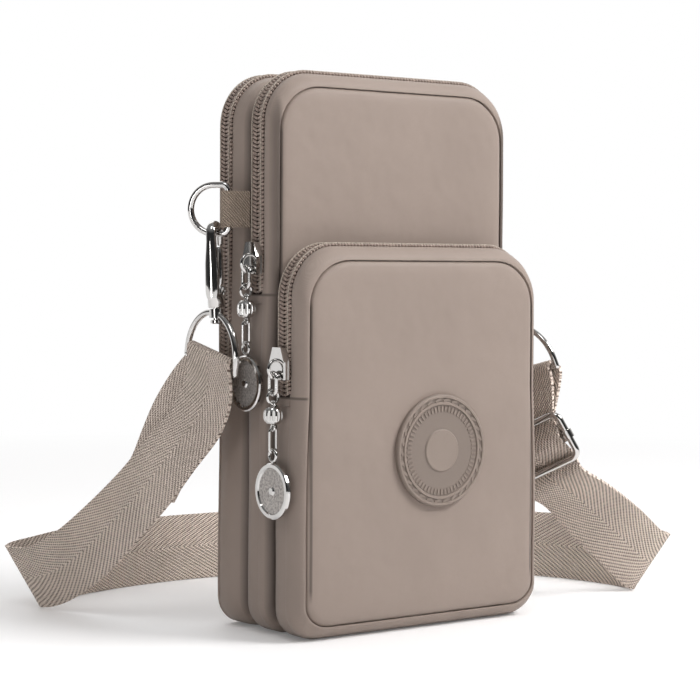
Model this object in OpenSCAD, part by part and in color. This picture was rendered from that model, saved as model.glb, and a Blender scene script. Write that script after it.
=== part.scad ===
// Phone pouch with three zipped compartments, snap hooks and a web strap.
// Millimetres. +X is the wearer's right seen from the front, the front faces -Y,
// +Z is up, and the origin is the centre of the base on the ground.

/* [Pouch] */
// Width over the side gussets
body_w = 100; // [85:1:125]
// Height of the two tall compartments
body_h = 185; // [170:1:215]
// Radius of the top corners
top_r = 17; // [12:1:22]
// Radius of the bottom corners
bottom_r = 9; // [6:1:14]
// Depth of the rear compartment
rear_d = 17; // [15:1:24]
// Depth of the middle compartment
middle_d = 16; // [14:1:24]
// Depth of the front pocket
pocket_d = 17; // [15:1:24]
// Height of the front pocket
pocket_h = 128; // [118:1:136]
// Thickness of a padded panel
panel_t = 1.6; // [1.2:0.1:2.4]
// Thickness of a side gusset
gusset_t = 1.4; // [1:0.1:2]
// Thickness of the lining cloth
lining_t = 0.6; // [0.4:0.1:1]
// Width of the sewn ridge round a front panel
welt_w = 1.6; // [1:0.1:2.4]
// How far the sewn ridge stands out
welt_t = 0.8; // [0.4:0.1:1.4]

/* [Zips] */
// Height where the rear zip stops
rear_zip_end = 90; // [80:1:105]
// Height where the middle zip stops
middle_zip_end = 112; // [106:1:116]
// Height where the pocket zip stops
pocket_zip_end = 79; // [72:1:80]
// Strip of cloth between the middle zip and the seam behind it
middle_strip = 3.3; // [2.6:0.1:5]
// Strip of cloth between the pocket zip and the seam behind it
pocket_strip = 2.9; // [2.4:0.1:5]
// Width of one row of coil
coil_w = 2.9; // [2.4:0.1:3.2]
// Gap between the two rows
coil_gap = 0.7; // [0.6:0.05:1]
// Height of the coil over its tape
coil_h = 1.2; // [0.9:0.1:1.6]
// Distance from one turn of the coil to the next
coil_pitch = 3; // [2.4:0.1:4]
// Thickness of the zip tape
tape_t = 0.6; // [0.4:0.1:0.9]
// Height of the fold of the two tall flaps
tall_fold = 132; // [131:1:140]
// Height of the fold of the pocket flap
pocket_fold = 84; // [83:1:90]

/* [Sliders] */
// Height of the middle slider
middle_slider_z = 124; // [118:1:126]
// Height of the pocket slider
pocket_slider_z = 90; // [86:1:96]
// Height of the rear slider, on the other side
rear_slider_z = 112; // [96:1:118]
// Slider width
slider_w = 8; // [7:0.1:8.4]
// Slider length
slider_l = 10.4; // [9:0.1:11.4]
// Slider thickness
slider_t = 2.5; // [2:0.1:3]

/* [Charms] */
// Diameter of the pendant
pendant_d = 18.3; // [16:0.1:19]
// Thickness of the pendant's rim
pendant_t = 1.7; // [1.4:0.1:2.2]
// Diameter of the fluted bead
bead_d = 6.3; // [5:0.1:7]
// Length of the fluted bead
bead_l = 5.7; // [5:0.1:7]

/* [Side hardware] */
// Height of the side tabs
tab_z = 140; // [134:1:148]
// Width of the side tabs' web
tab_w = 12; // [10:0.5:13]
// Reach of a side tab, from its seam to the ring's bar
tab_reach = 7.4; // [6:0.1:10]
// Thickness of the web
web_t = 1.3; // [1:0.1:1.6]
// Width of the strap's web
web_w = 25; // [20:1:25]
// Wire diameter of the rings
wire_d = 2.2; // [1.8:0.1:2.4]
// Outer width of a snap hook
hook_w = 9.6; // [8.6:0.1:10.4]
// Thickness of a snap hook
hook_t = 3.4; // [3:0.1:4.2]
// Width of the hook's opening
hook_mouth = 4; // [3.6:0.1:4.6]
// Outer width of the strap adjuster
adjuster_w = 32; // [31.5:0.5:35]
// Outer height of the strap adjuster
adjuster_h = 20; // [18:0.5:24]

/* [Patch] */
// Diameter of the round patch
patch_d = 37.6; // [30:0.1:40]
// Thickness of the round patch
patch_t = 2.4; // [1.6:0.1:3]
// Height of the patch's middle
patch_z = 60; // [56:1:64]
// Distance of the patch's middle from the centre line
patch_x = 5; // [-6:0.5:6]

/* [Hidden] */

$fn = 32;
taupe = [0.62, 0.57, 0.53];
taupe_side = [0.55, 0.50, 0.46];
web_colour = [0.70, 0.64, 0.59];
coil_colour = [0.50, 0.42, 0.38];
lining_colour = [0.45, 0.41, 0.38];
metal = [0.80, 0.80, 0.82];

// Clearance between moving pieces, and the overrun of a cut
clear = 0.3;
over = 1;
run_clear = 0.05;

// Depth stations, from the back to the front
back_y = middle_d / 2 + rear_d;
seam_y = middle_d / 2;
main_y = -middle_d / 2;
front_y = -middle_d / 2 - pocket_d;
divider_t = panel_t / 2;
chain_w = 2 * coil_w + coil_gap;
rear_zip_y = back_y - panel_t - chain_w;
middle_zip_y = seam_y - middle_strip - chain_w;
pocket_zip_y = main_y - pocket_strip - chain_w;
coil_seat = 0.4;
coil_notch = 0.45;
coil_play = 0.02;

// Outline of a compartment, as a drawing in X and Z
module rounded(w, h, rt, rb) {
    translate([-w / 2, rb]) square([w, h - rt - rb]);
    translate([-w / 2 + rt, h - rt]) square([w - 2 * rt, rt]);
    translate([-w / 2 + rb, 0]) square([w - 2 * rb, rb]);
    for (s = [-1, 1]) {
        translate([s * (w / 2 - rt), h - rt]) circle(rt, $fn = 64);
        translate([s * (w / 2 - rb), rb]) circle(rb, $fn = 48);
    }
}

module inset(h, t) {
    translate([0, t]) rounded(body_w - 2 * t, h - 2 * t, top_r - t, bottom_r - t);
}

module band(h, t0, t1) {
    difference() {
        inset(h, t0);
        inset(h, t1);
    }
}

module above(z) {
    intersection() {
        children();
        translate([-body_w, z]) square([2 * body_w, 2 * body_h]);
    }
}

module below(z) {
    intersection() {
        children();
        translate([-body_w, z - 2 * body_h]) square([2 * body_w, 2 * body_h]);
    }
}

// Gives a drawing in X and Z its depth, from y0 to y1
module deep(y0, y1) {
    translate([0, y1, 0]) rotate([90, 0, 0]) linear_extrude(y1 - y0) children();
}

// Gives a drawing in Y and Z its thickness, from x0 to x1
module thick(x0, x1) {
    translate([x0, 0, 0]) rotate([90, 0, 90]) linear_extrude(x1 - x0) children();
}

// A point along the outline from its lower left end, at an offset outwards
function outline_point(s, o, z0, h) =
    let (side = h - top_r - z0, bend = PI * top_r / 2, top = body_w - 2 * top_r)
    s < side ? [-body_w / 2 - o, z0 + s] :
    s < side + bend ?
        let (q = 180 - (s - side) / top_r * 180 / PI)
        [-body_w / 2 + top_r + (top_r + o) * cos(q), h - top_r + (top_r + o) * sin(q)] :
    s < side + bend + top ? [-body_w / 2 + top_r + s - side - bend, h + o] :
    s < side + 2 * bend + top ?
        let (q = 90 - (s - side - bend - top) / top_r * 180 / PI)
        [body_w / 2 - top_r + (top_r + o) * cos(q), h - top_r + (top_r + o) * sin(q)] :
    [body_w / 2 + o, h - top_r - (s - side - 2 * bend - top)];

function outline_length(z0, h) = 2 * (h - top_r - z0) + PI * top_r + body_w - 2 * top_r;

// One row of coil turns along the outline
module coil_row(z0, h) {
    turns = floor(outline_length(z0, h) / coil_pitch);
    step = outline_length(z0, h) / turns / 2;
    low = coil_h - coil_seat - coil_notch;
    high = coil_h - coil_seat;
    polygon(concat(
        [for (i = [0 : 2 * turns]) outline_point(i * step, i % 2 == 0 ? low : high, z0, h)],
        [for (i = [2 * turns : -1 : 0]) outline_point(i * step, coil_play - coil_seat, z0, h)]));
}

// Rear compartment

module rear_panel() {
    color(taupe) deep(back_y - panel_t, back_y) below(tall_fold) inset(body_h, 0);
}

module rear_flap_panel() {
    color(taupe) deep(back_y - panel_t, back_y) above(tall_fold + clear) inset(body_h, 0);
}

module rear_gusset() {
    color(taupe_side) {
        deep(seam_y + divider_t / 2, rear_zip_y) band(body_h, 0, gusset_t);
        deep(rear_zip_y, back_y - panel_t) below(rear_zip_end) band(body_h, 0, gusset_t);
    }
}

module divider_panel() {
    color(taupe_side) deep(seam_y - divider_t / 2, seam_y + divider_t / 2) inset(body_h, 0);
}

module rear_lining() {
    color(lining_colour) lining(seam_y + divider_t / 2, back_y - panel_t, body_h, tall_fold);
}

// Middle compartment

module middle_panel() {
    color(taupe) front_panel(main_y, body_h) below(tall_fold) children_outline(body_h);
}

module middle_flap_panel() {
    color(taupe) front_panel(main_y, body_h) above(tall_fold + clear) children_outline(body_h);
}

module children_outline(h) {
    inset(h, 0);
}

// A padded front panel; the sewn ridge is added round the pocket only
module front_panel(y, h) {
    deep(y, y + panel_t) children();
}

module middle_gusset() {
    color(taupe_side) {
        deep(middle_zip_y + chain_w, seam_y - divider_t / 2) band(body_h, 0, gusset_t);
        deep(middle_zip_y, middle_zip_y + chain_w) below(middle_zip_end) band(body_h, 0, gusset_t);
        deep(main_y + panel_t, middle_zip_y) below(tall_fold) band(body_h, 0, gusset_t);
    }
}

module middle_flap_strip() {
    color(taupe_side)
        deep(main_y + panel_t, middle_zip_y) above(tall_fold + clear) band(body_h, 0, gusset_t);
}

module middle_lining() {
    color(lining_colour) lining(main_y + panel_t, seam_y - divider_t / 2, body_h, tall_fold);
}

// Front pocket

module pocket_panel() {
    color(taupe) {
        deep(front_y, front_y + panel_t) below(pocket_fold) inset(pocket_h, 0);
        deep(front_y - welt_t, front_y) below(pocket_fold) band(pocket_h, 0, welt_w);
    }
}

module pocket_flap_panel() {
    color(taupe) {
        deep(front_y, front_y + panel_t) above(pocket_fold + clear) inset(pocket_h, 0);
        deep(front_y - welt_t, front_y) above(pocket_fold + clear) band(pocket_h, 0, welt_w);
    }
}

module pocket_gusset() {
    color(taupe_side) {
        deep(pocket_zip_y + chain_w, main_y) band(pocket_h, 0, gusset_t);
        deep(pocket_zip_y, pocket_zip_y + chain_w) below(pocket_zip_end)
            band(pocket_h, 0, gusset_t);
        deep(front_y + panel_t, pocket_zip_y) below(pocket_fold) band(pocket_h, 0, gusset_t);
    }
}

module pocket_flap_strip() {
    color(taupe_side)
        deep(front_y + panel_t, pocket_zip_y) above(pocket_fold + clear)
            band(pocket_h, 0, gusset_t);
}

module pocket_lining() {
    color(lining_colour) lining(front_y + panel_t, main_y, pocket_h, pocket_fold);
}

// An open bag of lining cloth between two depths, up to the height z1
module lining(y0, y1, h, z1) {
    out = gusset_t + lining_gap;
    difference() {
        deep(y0 + clear, y1 - clear) below(z1 - clear) inset(h, out);
        deep(y0 + clear + lining_t, y1 - clear - lining_t) inset(h, out + lining_t);
    }
}
lining_gap = 1.4;

// Zips: the fixed half runs all round, the flap half only above its fold

module fixed_half(y_fixed, y_flap, fold) {
    deep(y_fixed, y_fixed + coil_w) children();
    deep(y_flap, y_flap + coil_w) below(fold) children();
}

module flap_half(y_flap, fold) {
    deep(y_flap, y_flap + coil_w) above(fold + clear) children();
}

module tape(z0, h) {
    above(z0) band(h, coil_seat, coil_seat + tape_t);
}

rear_fixed_y = rear_zip_y;
rear_flap_y = rear_zip_y + coil_w + coil_gap;
middle_fixed_y = middle_zip_y + coil_w + coil_gap;
middle_flap_y = middle_zip_y;
pocket_fixed_y = pocket_zip_y + coil_w + coil_gap;
pocket_flap_y = pocket_zip_y;

module rear_tape_fixed() {
    color(coil_colour) fixed_half(rear_fixed_y, rear_flap_y, tall_fold) tape(rear_zip_end, body_h);
}
module rear_tape_flap() {
    color(coil_colour) flap_half(rear_flap_y, tall_fold) tape(rear_zip_end, body_h);
}
module rear_coil_fixed() {
    color(coil_colour)
        fixed_half(rear_fixed_y, rear_flap_y, tall_fold) coil_row(rear_zip_end, body_h);
}
module rear_coil_flap() {
    color(coil_colour) flap_half(rear_flap_y, tall_fold) coil_row(rear_zip_end, body_h);
}
module middle_tape_fixed() {
    color(coil_colour)
        fixed_half(middle_fixed_y, middle_flap_y, tall_fold) tape(middle_zip_end, body_h);
}
module middle_tape_flap() {
    color(coil_colour) flap_half(middle_flap_y, tall_fold) tape(middle_zip_end, body_h);
}
module middle_coil_fixed() {
    color(coil_colour)
        fixed_half(middle_fixed_y, middle_flap_y, tall_fold) coil_row(middle_zip_end, body_h);
}
module middle_coil_flap() {
    color(coil_colour) flap_half(middle_flap_y, tall_fold) coil_row(middle_zip_end, body_h);
}
module pocket_tape_fixed() {
    color(coil_colour)
        fixed_half(pocket_fixed_y, pocket_flap_y, pocket_fold) tape(pocket_zip_end, pocket_h);
}
module pocket_tape_flap() {
    color(coil_colour) flap_half(pocket_flap_y, pocket_fold) tape(pocket_zip_end, pocket_h);
}
module pocket_coil_fixed() {
    color(coil_colour)
        fixed_half(pocket_fixed_y, pocket_flap_y, pocket_fold)
            coil_row(pocket_zip_end, pocket_h);
}
module pocket_coil_flap() {
    color(coil_colour) flap_half(pocket_flap_y, pocket_fold) coil_row(pocket_zip_end, pocket_h);
}

// Sliders and charms are drawn on the left side; the rear ones are mirrored to the right

rear_mid_y = rear_zip_y + chain_w / 2;
middle_mid_y = middle_zip_y + chain_w / 2;
pocket_mid_y = pocket_zip_y + chain_w / 2;
slider_in = body_w / 2 + coil_h - coil_seat + clear;
slider_out = slider_in + slider_t;
nose_w_share = 0.56;
shoulder_share = 0.1;
groove_share = 0.3;
post_t = 0.35;
post_l = 4;
inner_w = 4.8;
inner_l = 7;
inner_t = 0.8;
inner_x = body_w / 2 - gusset_t - clear;
ring_r = 0.65;
bail_r = 0.6;
charm_reach = 1.2;
charm_x = slider_out + charm_reach;
bail_lift = 1;
link_clear = 0.15;
bail_reach = norm([charm_x - slider_out, bail_lift]) + ring_r + bail_r + link_clear;
pivot_drop = 2.9;
pull_w = 5.2;
pull_l = 8.4;
small_r = 2.1;
small_wire_r = 0.5;
eyelet_r = 0.95;
eyelet_wire_r = 0.35;
link_wire_r = 0.4;
link_w = 3.4;
link_l = 8.1;
pendant_ring_r = 1.9;
pendant_ring_wire_r = 0.5;
pull_bottom = pull_l - 2 * ring_r;
small_mid = pull_bottom - ring_r - small_wire_r - link_clear + small_r;
eyelet_a = small_mid + small_r;
bead_top = eyelet_a + eyelet_r;
eyelet_b = bead_top + bead_l + eyelet_r + link_clear;
link_bottom = eyelet_b + link_l;
pendant_ring_mid = link_bottom + pendant_ring_r - pendant_ring_wire_r - link_wire_r - link_clear;
pendant_mid = pendant_ring_mid + pendant_ring_r + pendant_ring_wire_r + pendant_d / 2;

module torus(r, wire) {
    rotate_extrude($fn = 40) translate([r, 0]) circle(wire, $fn = 20);
}

module arc_torus(r, wire, angle) {
    rotate_extrude(angle = angle, $fn = 40) translate([r, 0]) circle(wire, $fn = 20);
}

// An oval wire link that lies in X and Y, with its top bar's middle at the origin
module oval(w, l, wire) {
    r = w / 2;
    translate([0, -r, 0]) arc_torus(r, wire, 180);
    translate([0, r - l, 0]) rotate([0, 0, 180]) arc_torus(r, wire, 180);
    for (s = [-1, 1])
        translate([s * r, r - l, 0]) rotate([-90, 0, 0]) cylinder(l - 2 * r, r = wire, $fn = 20);
}

// Turns what lies in X and Y to lie in Y and Z
module upright() {
    rotate([90, 0, 90]) children();
}

// Turns what lies in X and Y to lie in X and Z
module sideways() {
    rotate([90, 0, 0]) children();
}

module on_left(y, z) {
    translate([0, y, z]) children();
}

module on_right(y, z) {
    translate([0, y, z]) mirror([1, 0, 0]) children();
}

module slider() {
    w = slider_w / 2;
    l = slider_l / 2;
    color(metal) {
        difference() {
            thick(-slider_out, -slider_in)
                polygon([[-w, -l], [w, -l], [w, l * shoulder_share], [w * nose_w_share, l],
                         [-w * nose_w_share, l], [-w, l * shoulder_share]]);
            for (s = [-1, 1])
                translate([-slider_in - slider_t * groove_share, s * w, 0])
                    cube([slider_t * groove_share, slider_t * groove_share, 2 * slider_l],
                         center = true);
        }
        translate([-slider_out, 0, bail_lift - pivot_drop])
            sideways() rotate([0, 0, 90]) arc_torus(bail_reach, bail_r, 180);
        translate([-slider_in - post_t, -post_t / 2, -post_l / 2])
            cube([slider_in + post_t - inner_x + inner_t, post_t, post_l]);
        translate([-inner_x, -inner_w / 2, -inner_l / 2]) cube([inner_t, inner_w, inner_l]);
    }
}

module pull_ring() {
    color(metal) translate([-charm_x, 0, -pivot_drop]) {
        upright() oval(pull_w - 2 * ring_r, pull_bottom, ring_r);
        translate([0, 0, -small_mid]) sideways() torus(small_r, small_wire_r);
    }
}

bead_waist_share = 0.45;
flute_count = 12;
flute_r = 0.6;

module bead() {
    color(metal) translate([-charm_x, 0, -pivot_drop]) {
        difference() {
            translate([0, 0, -bead_top - bead_l / 2]) rotate_extrude($fn = 48)
                polygon([for (i = [0 : 12]) let (q = -90 + i * 15)
                    [(bead_waist_share + (1 - bead_waist_share) * cos(q)) * bead_d / 2
                        * (abs(q) == 90 ? 0 : 1), sin(q) * bead_l / 2]]);
            for (i = [0 : flute_count - 1])
                rotate([0, 0, i * 360 / flute_count])
                    translate([bead_d / 2 + flute_r / 3, 0, -bead_top - bead_l])
                        cylinder(bead_l, r = flute_r, $fn = 16);
        }
        translate([0, 0, -eyelet_a]) upright() torus(eyelet_r, eyelet_wire_r);
        translate([0, 0, -eyelet_b]) upright() torus(eyelet_r, eyelet_wire_r);
    }
}

module link() {
    color(metal) translate([-charm_x, 0, -pivot_drop - eyelet_b])
        sideways() oval(link_w - 2 * link_wire_r, link_l, link_wire_r);
}

pendant_rim = 1.9;
pendant_dish = 0.5;
pendant_boss_r = 1.5;
boss_top_share = 0.7;
rim_top_share = 0.8;

module pendant() {
    r = pendant_d / 2;
    t = pendant_t / 2;
    boss_top = pendant_boss_r * boss_top_share;
    rim_top = pendant_rim * rim_top_share;
    color(metal) translate([-charm_x, 0, -pivot_drop]) {
        translate([0, 0, -pendant_mid]) rotate([0, 90, 0]) rotate_extrude($fn = 72)
            polygon([[0, -t], [boss_top, -t], [pendant_boss_r, pendant_dish - t],
                     [r - pendant_rim, pendant_dish - t], [r - rim_top, -t],
                     [r - t / 2, -t], [r, -t / 2], [r, t / 2], [r - t / 2, t],
                     [r - rim_top, t], [r - pendant_rim, t - pendant_dish],
                     [pendant_boss_r, t - pendant_dish], [boss_top, t], [0, t]]);
        translate([0, 0, -pendant_ring_mid]) upright() torus(pendant_ring_r, pendant_ring_wire_r);
        translate([0, 0, -pendant_mid + r - pendant_ring_wire_r])
            cylinder(2 * pendant_ring_wire_r, r = pendant_ring_wire_r, $fn = 20);
    }
}

module rear_slider() { on_right(rear_mid_y, rear_slider_z) slider(); }
module rear_pull_ring() { on_right(rear_mid_y, rear_slider_z) pull_ring(); }
module rear_bead() { on_right(rear_mid_y, rear_slider_z) bead(); }
module rear_link() { on_right(rear_mid_y, rear_slider_z) link(); }
module rear_pendant() { on_right(rear_mid_y, rear_slider_z) pendant(); }
module middle_slider() { on_left(middle_mid_y, middle_slider_z) slider(); }
module middle_pull_ring() { on_left(middle_mid_y, middle_slider_z) pull_ring(); }
module middle_bead() { on_left(middle_mid_y, middle_slider_z) bead(); }
module middle_link() { on_left(middle_mid_y, middle_slider_z) link(); }
module middle_pendant() { on_left(middle_mid_y, middle_slider_z) pendant(); }
module pocket_slider() { on_left(pocket_mid_y, pocket_slider_z) slider(); }
module pocket_pull_ring() { on_left(pocket_mid_y, pocket_slider_z) pull_ring(); }
module pocket_bead() { on_left(pocket_mid_y, pocket_slider_z) bead(); }
module pocket_link() { on_left(pocket_mid_y, pocket_slider_z) link(); }
module pocket_pendant() { on_left(pocket_mid_y, pocket_slider_z) pendant(); }

// Side tabs and their rings. The right tab hangs down under the strap's pull.

wire_r = wire_d / 2;
tab_turn = 30;
ring_turn = 24;
tab_root_y = seam_y - middle_strip + web_t;
loop_play = 0.35;
loop_r = wire_r + loop_play;
d_height = 16;
d_reach = 5.2;
d_corner = 2;
right_droop = 40;
tab_lip = 0.6;

// Left tab frame: X runs out along the tab, Z up
module tab_frame(droop) {
    translate([-body_w / 2, tab_root_y, tab_z]) rotate([0, 0, 180 - tab_turn])
        rotate([0, droop, 0]) children();
}

module tab() {
    reach = tab_reach;
    color(web_colour) difference() {
        translate([0, 0, -tab_w / 2]) linear_extrude(tab_w) {
            translate([reach, 0]) circle(loop_r + web_t);
            polygon([[0, -web_t], [reach, -loop_r - web_t], [reach, loop_r + web_t], [0, web_t]]);
        }
        translate([0, 0, -tab_w]) linear_extrude(2 * tab_w) {
            translate([reach, 0]) circle(loop_r);
            polygon([[web_t, 0], [reach, -loop_r], [reach, loop_r]]);
        }
    }
}

// The ring's bar stands at the tab's fold, and its bow runs on outwards
module d_ring(turn) {
    half = d_height / 2;
    bar = half - d_corner;
    color(metal) translate([tab_reach, 0, 0]) rotate([0, 0, turn]) rotate([90, 0, 0]) {
        translate([0, -bar, 0]) rotate([-90, 0, 0]) cylinder(2 * bar, r = wire_r);
        for (s = [-1, 1]) {
            translate([d_corner, s * bar, 0])
                rotate([0, 0, s > 0 ? 90 : 180]) arc_torus(d_corner, wire_r, 90);
            translate([d_corner, s * half, 0]) rotate([0, 90, 0])
                cylinder(d_reach - d_corner, r = wire_r);
        }
        translate([d_reach, 0, 0]) rotate([0, 0, -90]) arc_torus(half, wire_r, 180);
    }
}

// Cuts a tab off flat where it is sewn to the pouch's side, and clear of the slider that passes it
module off_wall() {
    difference() {
        children();
        translate([-body_w / 2, -body_w / 2, 0]) cube([body_w, body_w, body_h]);
        translate([-slider_out - clear, -body_w / 2, 0])
            cube([2 * slider_out + 2 * clear, body_w / 2 + middle_mid_y + slider_w / 2 + clear, body_h]);
    }
}

module left_tab() { off_wall() tab_frame(0) tab(); }
module right_tab() { off_wall() mirror([1, 0, 0]) tab_frame(right_droop) tab(); }
module left_d_ring() { tab_frame(0) d_ring(-ring_turn); }
module right_d_ring() { mirror([1, 0, 0]) tab_frame(right_droop) d_ring(0); }

// Vectors
function unit(v) = v / norm(v);
function square_to(v, axis) = unit(v - (v * axis) * axis);

// Where each hook hangs on its ring, which way it hangs, and which way its gate faces
left_slope_share = 0.05;
left_hang_u = d_reach - d_height / 2 * left_slope_share;
left_dir = [cos(180 - tab_turn - ring_turn), sin(180 - tab_turn - ring_turn), 0];
tab_dir = [cos(180 - tab_turn), sin(180 - tab_turn), 0];
left_hang = [-body_w / 2, tab_root_y, tab_z] + tab_reach * tab_dir + left_hang_u * left_dir
    - [0, 0, d_height / 2];
right_out = tab_reach + d_reach;
right_hang_u = 0.9;
right_hang_out = right_out * cos(right_droop) + right_hang_u;
right_hang = [body_w / 2 - right_hang_out * tab_dir[0], tab_root_y + right_hang_out * tab_dir[1],
    tab_z - right_out * sin(right_droop) - d_height / 2];
left_down = unit([0, -left_slope_share, -1]);
left_gate_dir = square_to([81, 59, 0], left_down);
right_down = unit([27, -22, -94]);
right_gate_dir = square_to([47, -82, 33], right_down);

// Places a piece drawn with X towards the gate, Y across and Z up the hook
module hung(at, down, gate) {
    side = cross(-down, gate);
    multmatrix([[gate[0], side[0], -down[0], at[0]], [gate[1], side[1], -down[1], at[1]],
                [gate[2], side[2], -down[2], at[2]], [0, 0, 0, 1]]) children();
}

hook_bar = (hook_w - hook_mouth) / 2;
hang_play = 0.35;
bow_drop = hook_mouth / 2 - wire_r - hang_play;
nose_l = 3.4;
hook_foot = 24.6;
ear_h = 7;
pin_z = 18.6;
pin_r = 0.55;
gate_w = 2.2;
gate_t = 1.8;
slot_t = gate_t + clear;
gate_x = hook_w / 2 - gate_w / 2 - clear;
stem_r = 1.2;
head_r = 2.1;
head_t = 1.4;
boss_r = 2.4;
boss_l = 3;
boss_top = hook_foot + clear;
foot_w = 5.4;

module hook() {
    w = hook_w / 2;
    m = hook_mouth / 2;
    color(metal) {
        difference() {
            rotate([90, 0, 0]) translate([0, 0, -hook_t / 2]) linear_extrude(hook_t) {
                intersection() {
                    translate([0, -bow_drop]) difference() {
                        circle(w, $fn = 48);
                        circle(m);
                    }
                    translate([-w, -bow_drop]) square([2 * w, 2 * w]);
                }
                translate([-w, -hook_foot + ear_h / 2]) square([hook_bar, hook_foot - ear_h / 2 - bow_drop]);
                translate([m, -bow_drop - nose_l]) square([hook_bar, nose_l]);
                polygon([[-w, -hook_foot + ear_h], [-w, -hook_foot + 2 * clear],
                         [-foot_w / 2, -hook_foot], [foot_w / 2, -hook_foot],
                         [w, -hook_foot + 2 * clear + hook_bar / 2], [w, -hook_foot + ear_h]]);
            }
            translate([gate_x - gate_w / 2 - clear, -slot_t / 2, -pin_z - gate_w / 2 - clear])
                cube([2 * hook_w, slot_t, ear_h]);
        }
        translate([gate_x, hook_t / 2, -pin_z]) rotate([90, 0, 0]) cylinder(hook_t, r = pin_r);
        translate([0, 0, -hook_foot - boss_l - 3 * clear - head_t])
            cylinder(head_t, r = head_r);
        translate([0, 0, -hook_foot - boss_l - 3 * clear])
            cylinder(boss_l + 4 * clear, r = stem_r);
    }
}

gate_top = bow_drop + nose_l + clear;

module gate() {
    color(metal) difference() {
        union() {
            translate([gate_x, gate_t / 2, -pin_z]) rotate([90, 0, 0])
                cylinder(gate_t, r = gate_w / 2);
            translate([gate_x - gate_w / 2, -gate_t / 2, -pin_z])
                cube([gate_w, gate_t, pin_z - gate_top]);
            translate([gate_x + gate_w / 2 - clear, -gate_t / 2, -pin_z + ear_h])
                cube([2 * clear + hook_bar / 3, gate_t, hook_bar]);
        }
        translate([gate_x, gate_t, -pin_z]) rotate([90, 0, 0])
            cylinder(2 * gate_t, r = pin_r + run_clear);
    }
}

eye_side = 2.1;
eye_r = web_w / 2 + eye_side;
eye_leg = 2.6;

// The ring of the eye hangs from its boss; X runs along the bar, Z up
module eye_ring() {
    translate([0, 0, -eye_r]) rotate([90, 0, 0]) arc_torus(eye_r, wire_r, 180);
    for (s = [-1, 1]) {
        translate([s * eye_r, 0, -eye_r - eye_leg]) cylinder(eye_leg, r = wire_r);
        translate([s * eye_r, 0, -eye_r - eye_leg]) sphere(wire_r, $fn = 32);
    }
    translate([-eye_r, 0, -eye_r - eye_leg]) rotate([0, 90, 0]) cylinder(2 * eye_r, r = wire_r);
}

boss_mid = boss_top + boss_l / 2;
left_boss = left_hang + boss_mid * left_down;
right_boss = right_hang + boss_mid * right_down;
left_eye_down = unit([0, 21, -98]);
left_bar_dir = square_to([0, -1, 0], left_eye_down);
right_bar_dir = square_to([0, -1, 0], right_down);

module eye(boss, ring_down, bar_dir, hang, down, gate) {
    color(metal) difference() {
        union() {
            hung(boss, ring_down, bar_dir) eye_ring();
            hung(hang, down, gate) translate([0, 0, -boss_top - boss_l]) cylinder(boss_l, r = boss_r);
        }
        hung(hang, down, gate) translate([0, 0, -boss_top - boss_l - over])
            cylinder(boss_l + 2 * over, r = stem_r + run_clear);
    }
}

module left_hook() { hung(left_hang, left_down, left_gate_dir) hook(); }
module right_hook() { hung(right_hang, right_down, right_gate_dir) hook(); }
module left_gate() { hung(left_hang, left_down, left_gate_dir) gate(); }
module right_gate() { hung(right_hang, right_down, right_gate_dir) gate(); }
module left_eye() {
    eye(left_boss, left_eye_down, left_bar_dir, left_hang, left_down, left_gate_dir);
}
module right_eye() {
    eye(right_boss, right_down, right_bar_dir, right_hang, right_down, right_gate_dir);
}

// Strap adjuster: X runs along its bars towards the back, Y up the strap, Z to the front

adjuster_at = [69, -2.3, 55.2];
adjuster_up = unit([-38, 30, 87]);
adjuster_side = square_to([-33, 84, -43], adjuster_up);
adjuster_face = cross(adjuster_up, adjuster_side);
adjuster_wire = 1.3;
adjuster_corner = 3;

module in_adjuster() {
    multmatrix([
        [adjuster_side[0], adjuster_up[0], -adjuster_face[0], adjuster_at[0]],
        [adjuster_side[1], adjuster_up[1], -adjuster_face[1], adjuster_at[1]],
        [adjuster_side[2], adjuster_up[2], -adjuster_face[2], adjuster_at[2]],
        [0, 0, 0, 1]]) children();
}

module adjuster_frame() {
    x = adjuster_w / 2 - adjuster_wire;
    y = adjuster_h / 2 - adjuster_wire;
    c = adjuster_corner;
    color(metal) in_adjuster() {
        for (s = [-1, 1]) {
            translate([c - x, s * y, 0]) rotate([0, 90, 0]) cylinder(2 * x - 2 * c, r = adjuster_wire);
            translate([s * x, c - y, 0]) rotate([-90, 0, 0]) cylinder(2 * y - 2 * c, r = adjuster_wire);
        }
        for (q = [0 : 3])
            translate([(q == 0 || q == 3 ? 1 : -1) * (x - c), (q < 2 ? 1 : -1) * (y - c), 0])
                rotate([0, 0, 90 * q]) arc_torus(c, adjuster_wire, 90);
    }
}

collar_t = 0.7;
collar_r = adjuster_wire + collar_t;
collar_l = 3;

module adjuster_bar() {
    x = adjuster_w / 2 - adjuster_wire;
    color(metal) in_adjuster() difference() {
        union() {
            translate([-x, 0, 0]) rotate([0, 90, 0]) cylinder(2 * x, r = wire_r);
            for (s = [-1, 1]) translate([s * x, -collar_l / 2, 0]) rotate([-90, 0, 0])
                cylinder(collar_l, r = collar_r);
        }
        for (s = [-1, 1]) translate([s * x, -collar_l, 0]) rotate([-90, 0, 0])
            cylinder(2 * collar_l, r = adjuster_wire + run_clear);
    }
}

// Strap: its route is the line of each edge, chosen by hand, with round numbers.
// It runs from the sewn tail over the left eye, down to the ground, round the back
// and up through the adjuster to the right eye.

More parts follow.
